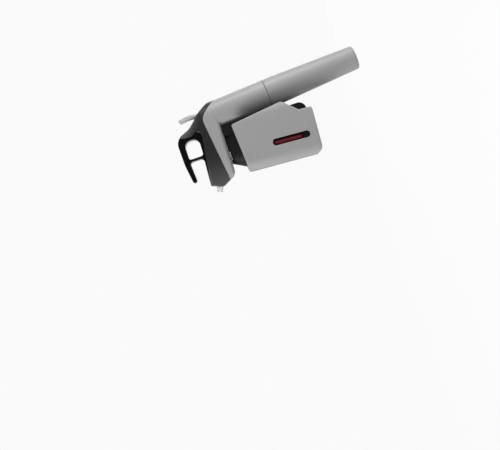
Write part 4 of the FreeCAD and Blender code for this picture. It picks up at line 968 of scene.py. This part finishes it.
def add_floor(settings):
    """Wide pale disc that shows as the backdrop does but keeps the shadow."""
    bm = bmesh.new()
    bmesh.ops.create_circle(bm, cap_ends=True, segments=FLOOR_STEPS, radius=FLOOR_R)
    bmesh.ops.translate(bm, verts=bm.verts, vec=(0, 0, -settings.floor_drop))
    mesh = bpy.data.meshes.new("Floor")
    bm.to_mesh(mesh)
    bm.free()
    finish = Finish("Pale floor", Base_Color=(0.8, 0.8, 0.8, 1.0), Roughness=0.8,
                    Specular_IOR_Level=0.0)
    glow = finish.node("ShaderNodeEmission", None, {"Color": WHITE})
    mixed = finish.node("ShaderNodeMixShader", None, {
        0: finish.seen_directly() * FLOOR_GLOW, 1: finish.shader, 2: glow})
    finish.feed(finish.output.node, {"Surface": mixed})
    mesh.materials.append(finish.material)
    floor = bpy.data.objects.new("Floor", mesh)
    bpy.context.scene.collection.objects.link(floor)


# ---------------------------------------------------------------- operators
class DISPENSER_OT_head(bpy.types.Operator):
    """Finish the housing, the cover, its inlay and the cup"""

    bl_idname = "dispenser.head"
    bl_label = "Head and cup"

    def execute(self, context):
        dress(["head_housing", "grip_cover", "grip_inlay", "capsule_cup"])
        return {"FINISHED"}


class DISPENSER_OT_clamp(bpy.types.Operator):
    """Finish the guide block, its bush, the rail and both arms"""

    bl_idname = "dispenser.clamp"
    bl_label = "Clamp"

    def execute(self, context):
        dress(["clamp_base", "needle_bush", "slide_rail"])
        dress([side + part for side in ("left", "right") for part in ("_arm_shell", "_arm_liner")])
        return {"FINISHED"}


class DISPENSER_OT_mechanism(bpy.types.Operator):
    """Finish the trigger, the valve, the regulator, the capsule and the pipework"""

    bl_idname = "dispenser.mechanism"
    bl_label = "Mechanism"

    def execute(self, context):
        dress(["trigger", "trigger_pin", "valve_body", "valve_spool", "valve_spring",
               "regulator_body", "regulator_cap", "regulator_piston", "regulator_spring",
               "piercing_pin", "argon_capsule", "gas_tube", "needle_hub", "needle", "spout_tube",
               "hinge_pins", "arm_springs"])
        return {"FINISHED"}


class DISPENSER_OT_grips(bpy.types.Operator):
    """Model the two ribbed grip pads"""

    bl_idname = "dispenser.grips"
    bl_label = "Grip pads"

    def execute(self, context):
        for side in ("left", "right"):
            grip_pad(side, context.scene.dispenser_detail)
        return {"FINISHED"}


class DISPENSER_OT_rests(bpy.types.Operator):
    """Model the neck rest, the lip ring and the cup's cushion"""

    bl_idname = "dispenser.rests"
    bl_label = "Rests"

    def execute(self, context):
        neck_rest(context.scene.dispenser_detail)
        lip_ring()
        cup_cushion()
        return {"FINISHED"}


class DISPENSER_OT_seals(bpy.types.Operator):
    """Model the spout's O-ring and the washers of the capsule and the cup"""

    bl_idname = "dispenser.seals"
    bl_label = "Seals"

    def execute(self, context):
        spout_ring()
        capsule_washer()
        cup_washer()
        return {"FINISHED"}


class DISPENSER_OT_screws(bpy.types.Operator):
    """Model the socket screws of the cover, the rail and the arms"""

    bl_idname = "dispenser.screws"
    bl_label = "Screws"

    def execute(self, context):
        detail = context.scene.dispenser_detail
        screw_pair("cover_screws", "cover_socket_screws", "head", 2, False, detail)
        screw_pair("rail_screws", "rail_socket_screws", "head", 2, True, detail)
        screw_pair("right_arm_screws", "right_arm_socket_screws", "right_arm", 1, False, detail)
        screw_pair("left_arm_screws", "left_arm_socket_screws", "left_arm", 1, True, detail)
        return {"FINISHED"}


class DISPENSER_OT_thread(bpy.types.Operator):
    """Model the collar's thread, which the cup screws on"""

    bl_idname = "dispenser.thread"
    bl_label = "Collar thread"

    def execute(self, context):
        collar_thread(context.scene.dispenser_detail)
        return {"FINISHED"}


class DISPENSER_OT_stage(bpy.types.Operator):
    """Set up the camera, the lamps, the room and the floor"""

    bl_idname = "dispenser.stage"
    bl_label = "Stage"

    def execute(self, context):
        settings = context.scene.dispenser_stage
        add_camera(settings)
        for name, size, up, near, right in LAMPS:
            offset = UPWARD * up + TOWARD * near + ACROSS * right
            add_lamp(name, getattr(settings, name.lower()), size, offset)
        add_room(settings)
        add_floor(settings)
        return {"FINISHED"}


STEPS = (DISPENSER_OT_head, DISPENSER_OT_clamp, DISPENSER_OT_mechanism, DISPENSER_OT_grips,
         DISPENSER_OT_rests, DISPENSER_OT_seals, DISPENSER_OT_screws, DISPENSER_OT_thread,
         DISPENSER_OT_stage)
GROUPS = (("dispenser_finish", DispenserFinish), ("dispenser_detail", DispenserDetail),
          ("dispenser_stage", DispenserStage))


class DISPENSER_PT_panel(bpy.types.Panel):
    """Lists the dispenser's steps and settings"""

    bl_idname = "DISPENSER_PT_panel"
    bl_label = "Wine Preservation Dispenser"
    bl_space_type = "VIEW_3D"
    bl_region_type = "UI"
    bl_category = "Dispenser"

    def draw(self, context):
        column = self.layout.column()
        for step in STEPS:
            column.operator(step.bl_idname)
        for name, group in GROUPS:
            settings = getattr(context.scene, name)
            for key in group.__annotations__:
                column.prop(settings, key)


def register():
    for name, group in GROUPS:
        bpy.utils.register_class(group)
        setattr(bpy.types.Scene, name, bpy.props.PointerProperty(type=group))
    for kind in (*STEPS, DISPENSER_PT_panel):
        bpy.utils.register_class(kind)


def unregister():
    for kind in (DISPENSER_PT_panel, *reversed(STEPS)):
        bpy.utils.unregister_class(kind)
    for name, group in reversed(GROUPS):
        delattr(bpy.types.Scene, name)
        bpy.utils.unregister_class(group)


def main():
    register()
    bpy.context.scene.view_settings.view_transform = "Standard"
    for step in STEPS:
        group, name = step.bl_idname.split(".")
        if getattr(getattr(bpy.ops, group), name)() != {"FINISHED"}:
            raise RuntimeError(step.bl_label + " did not finish")


if __name__ == "__main__":
    main()
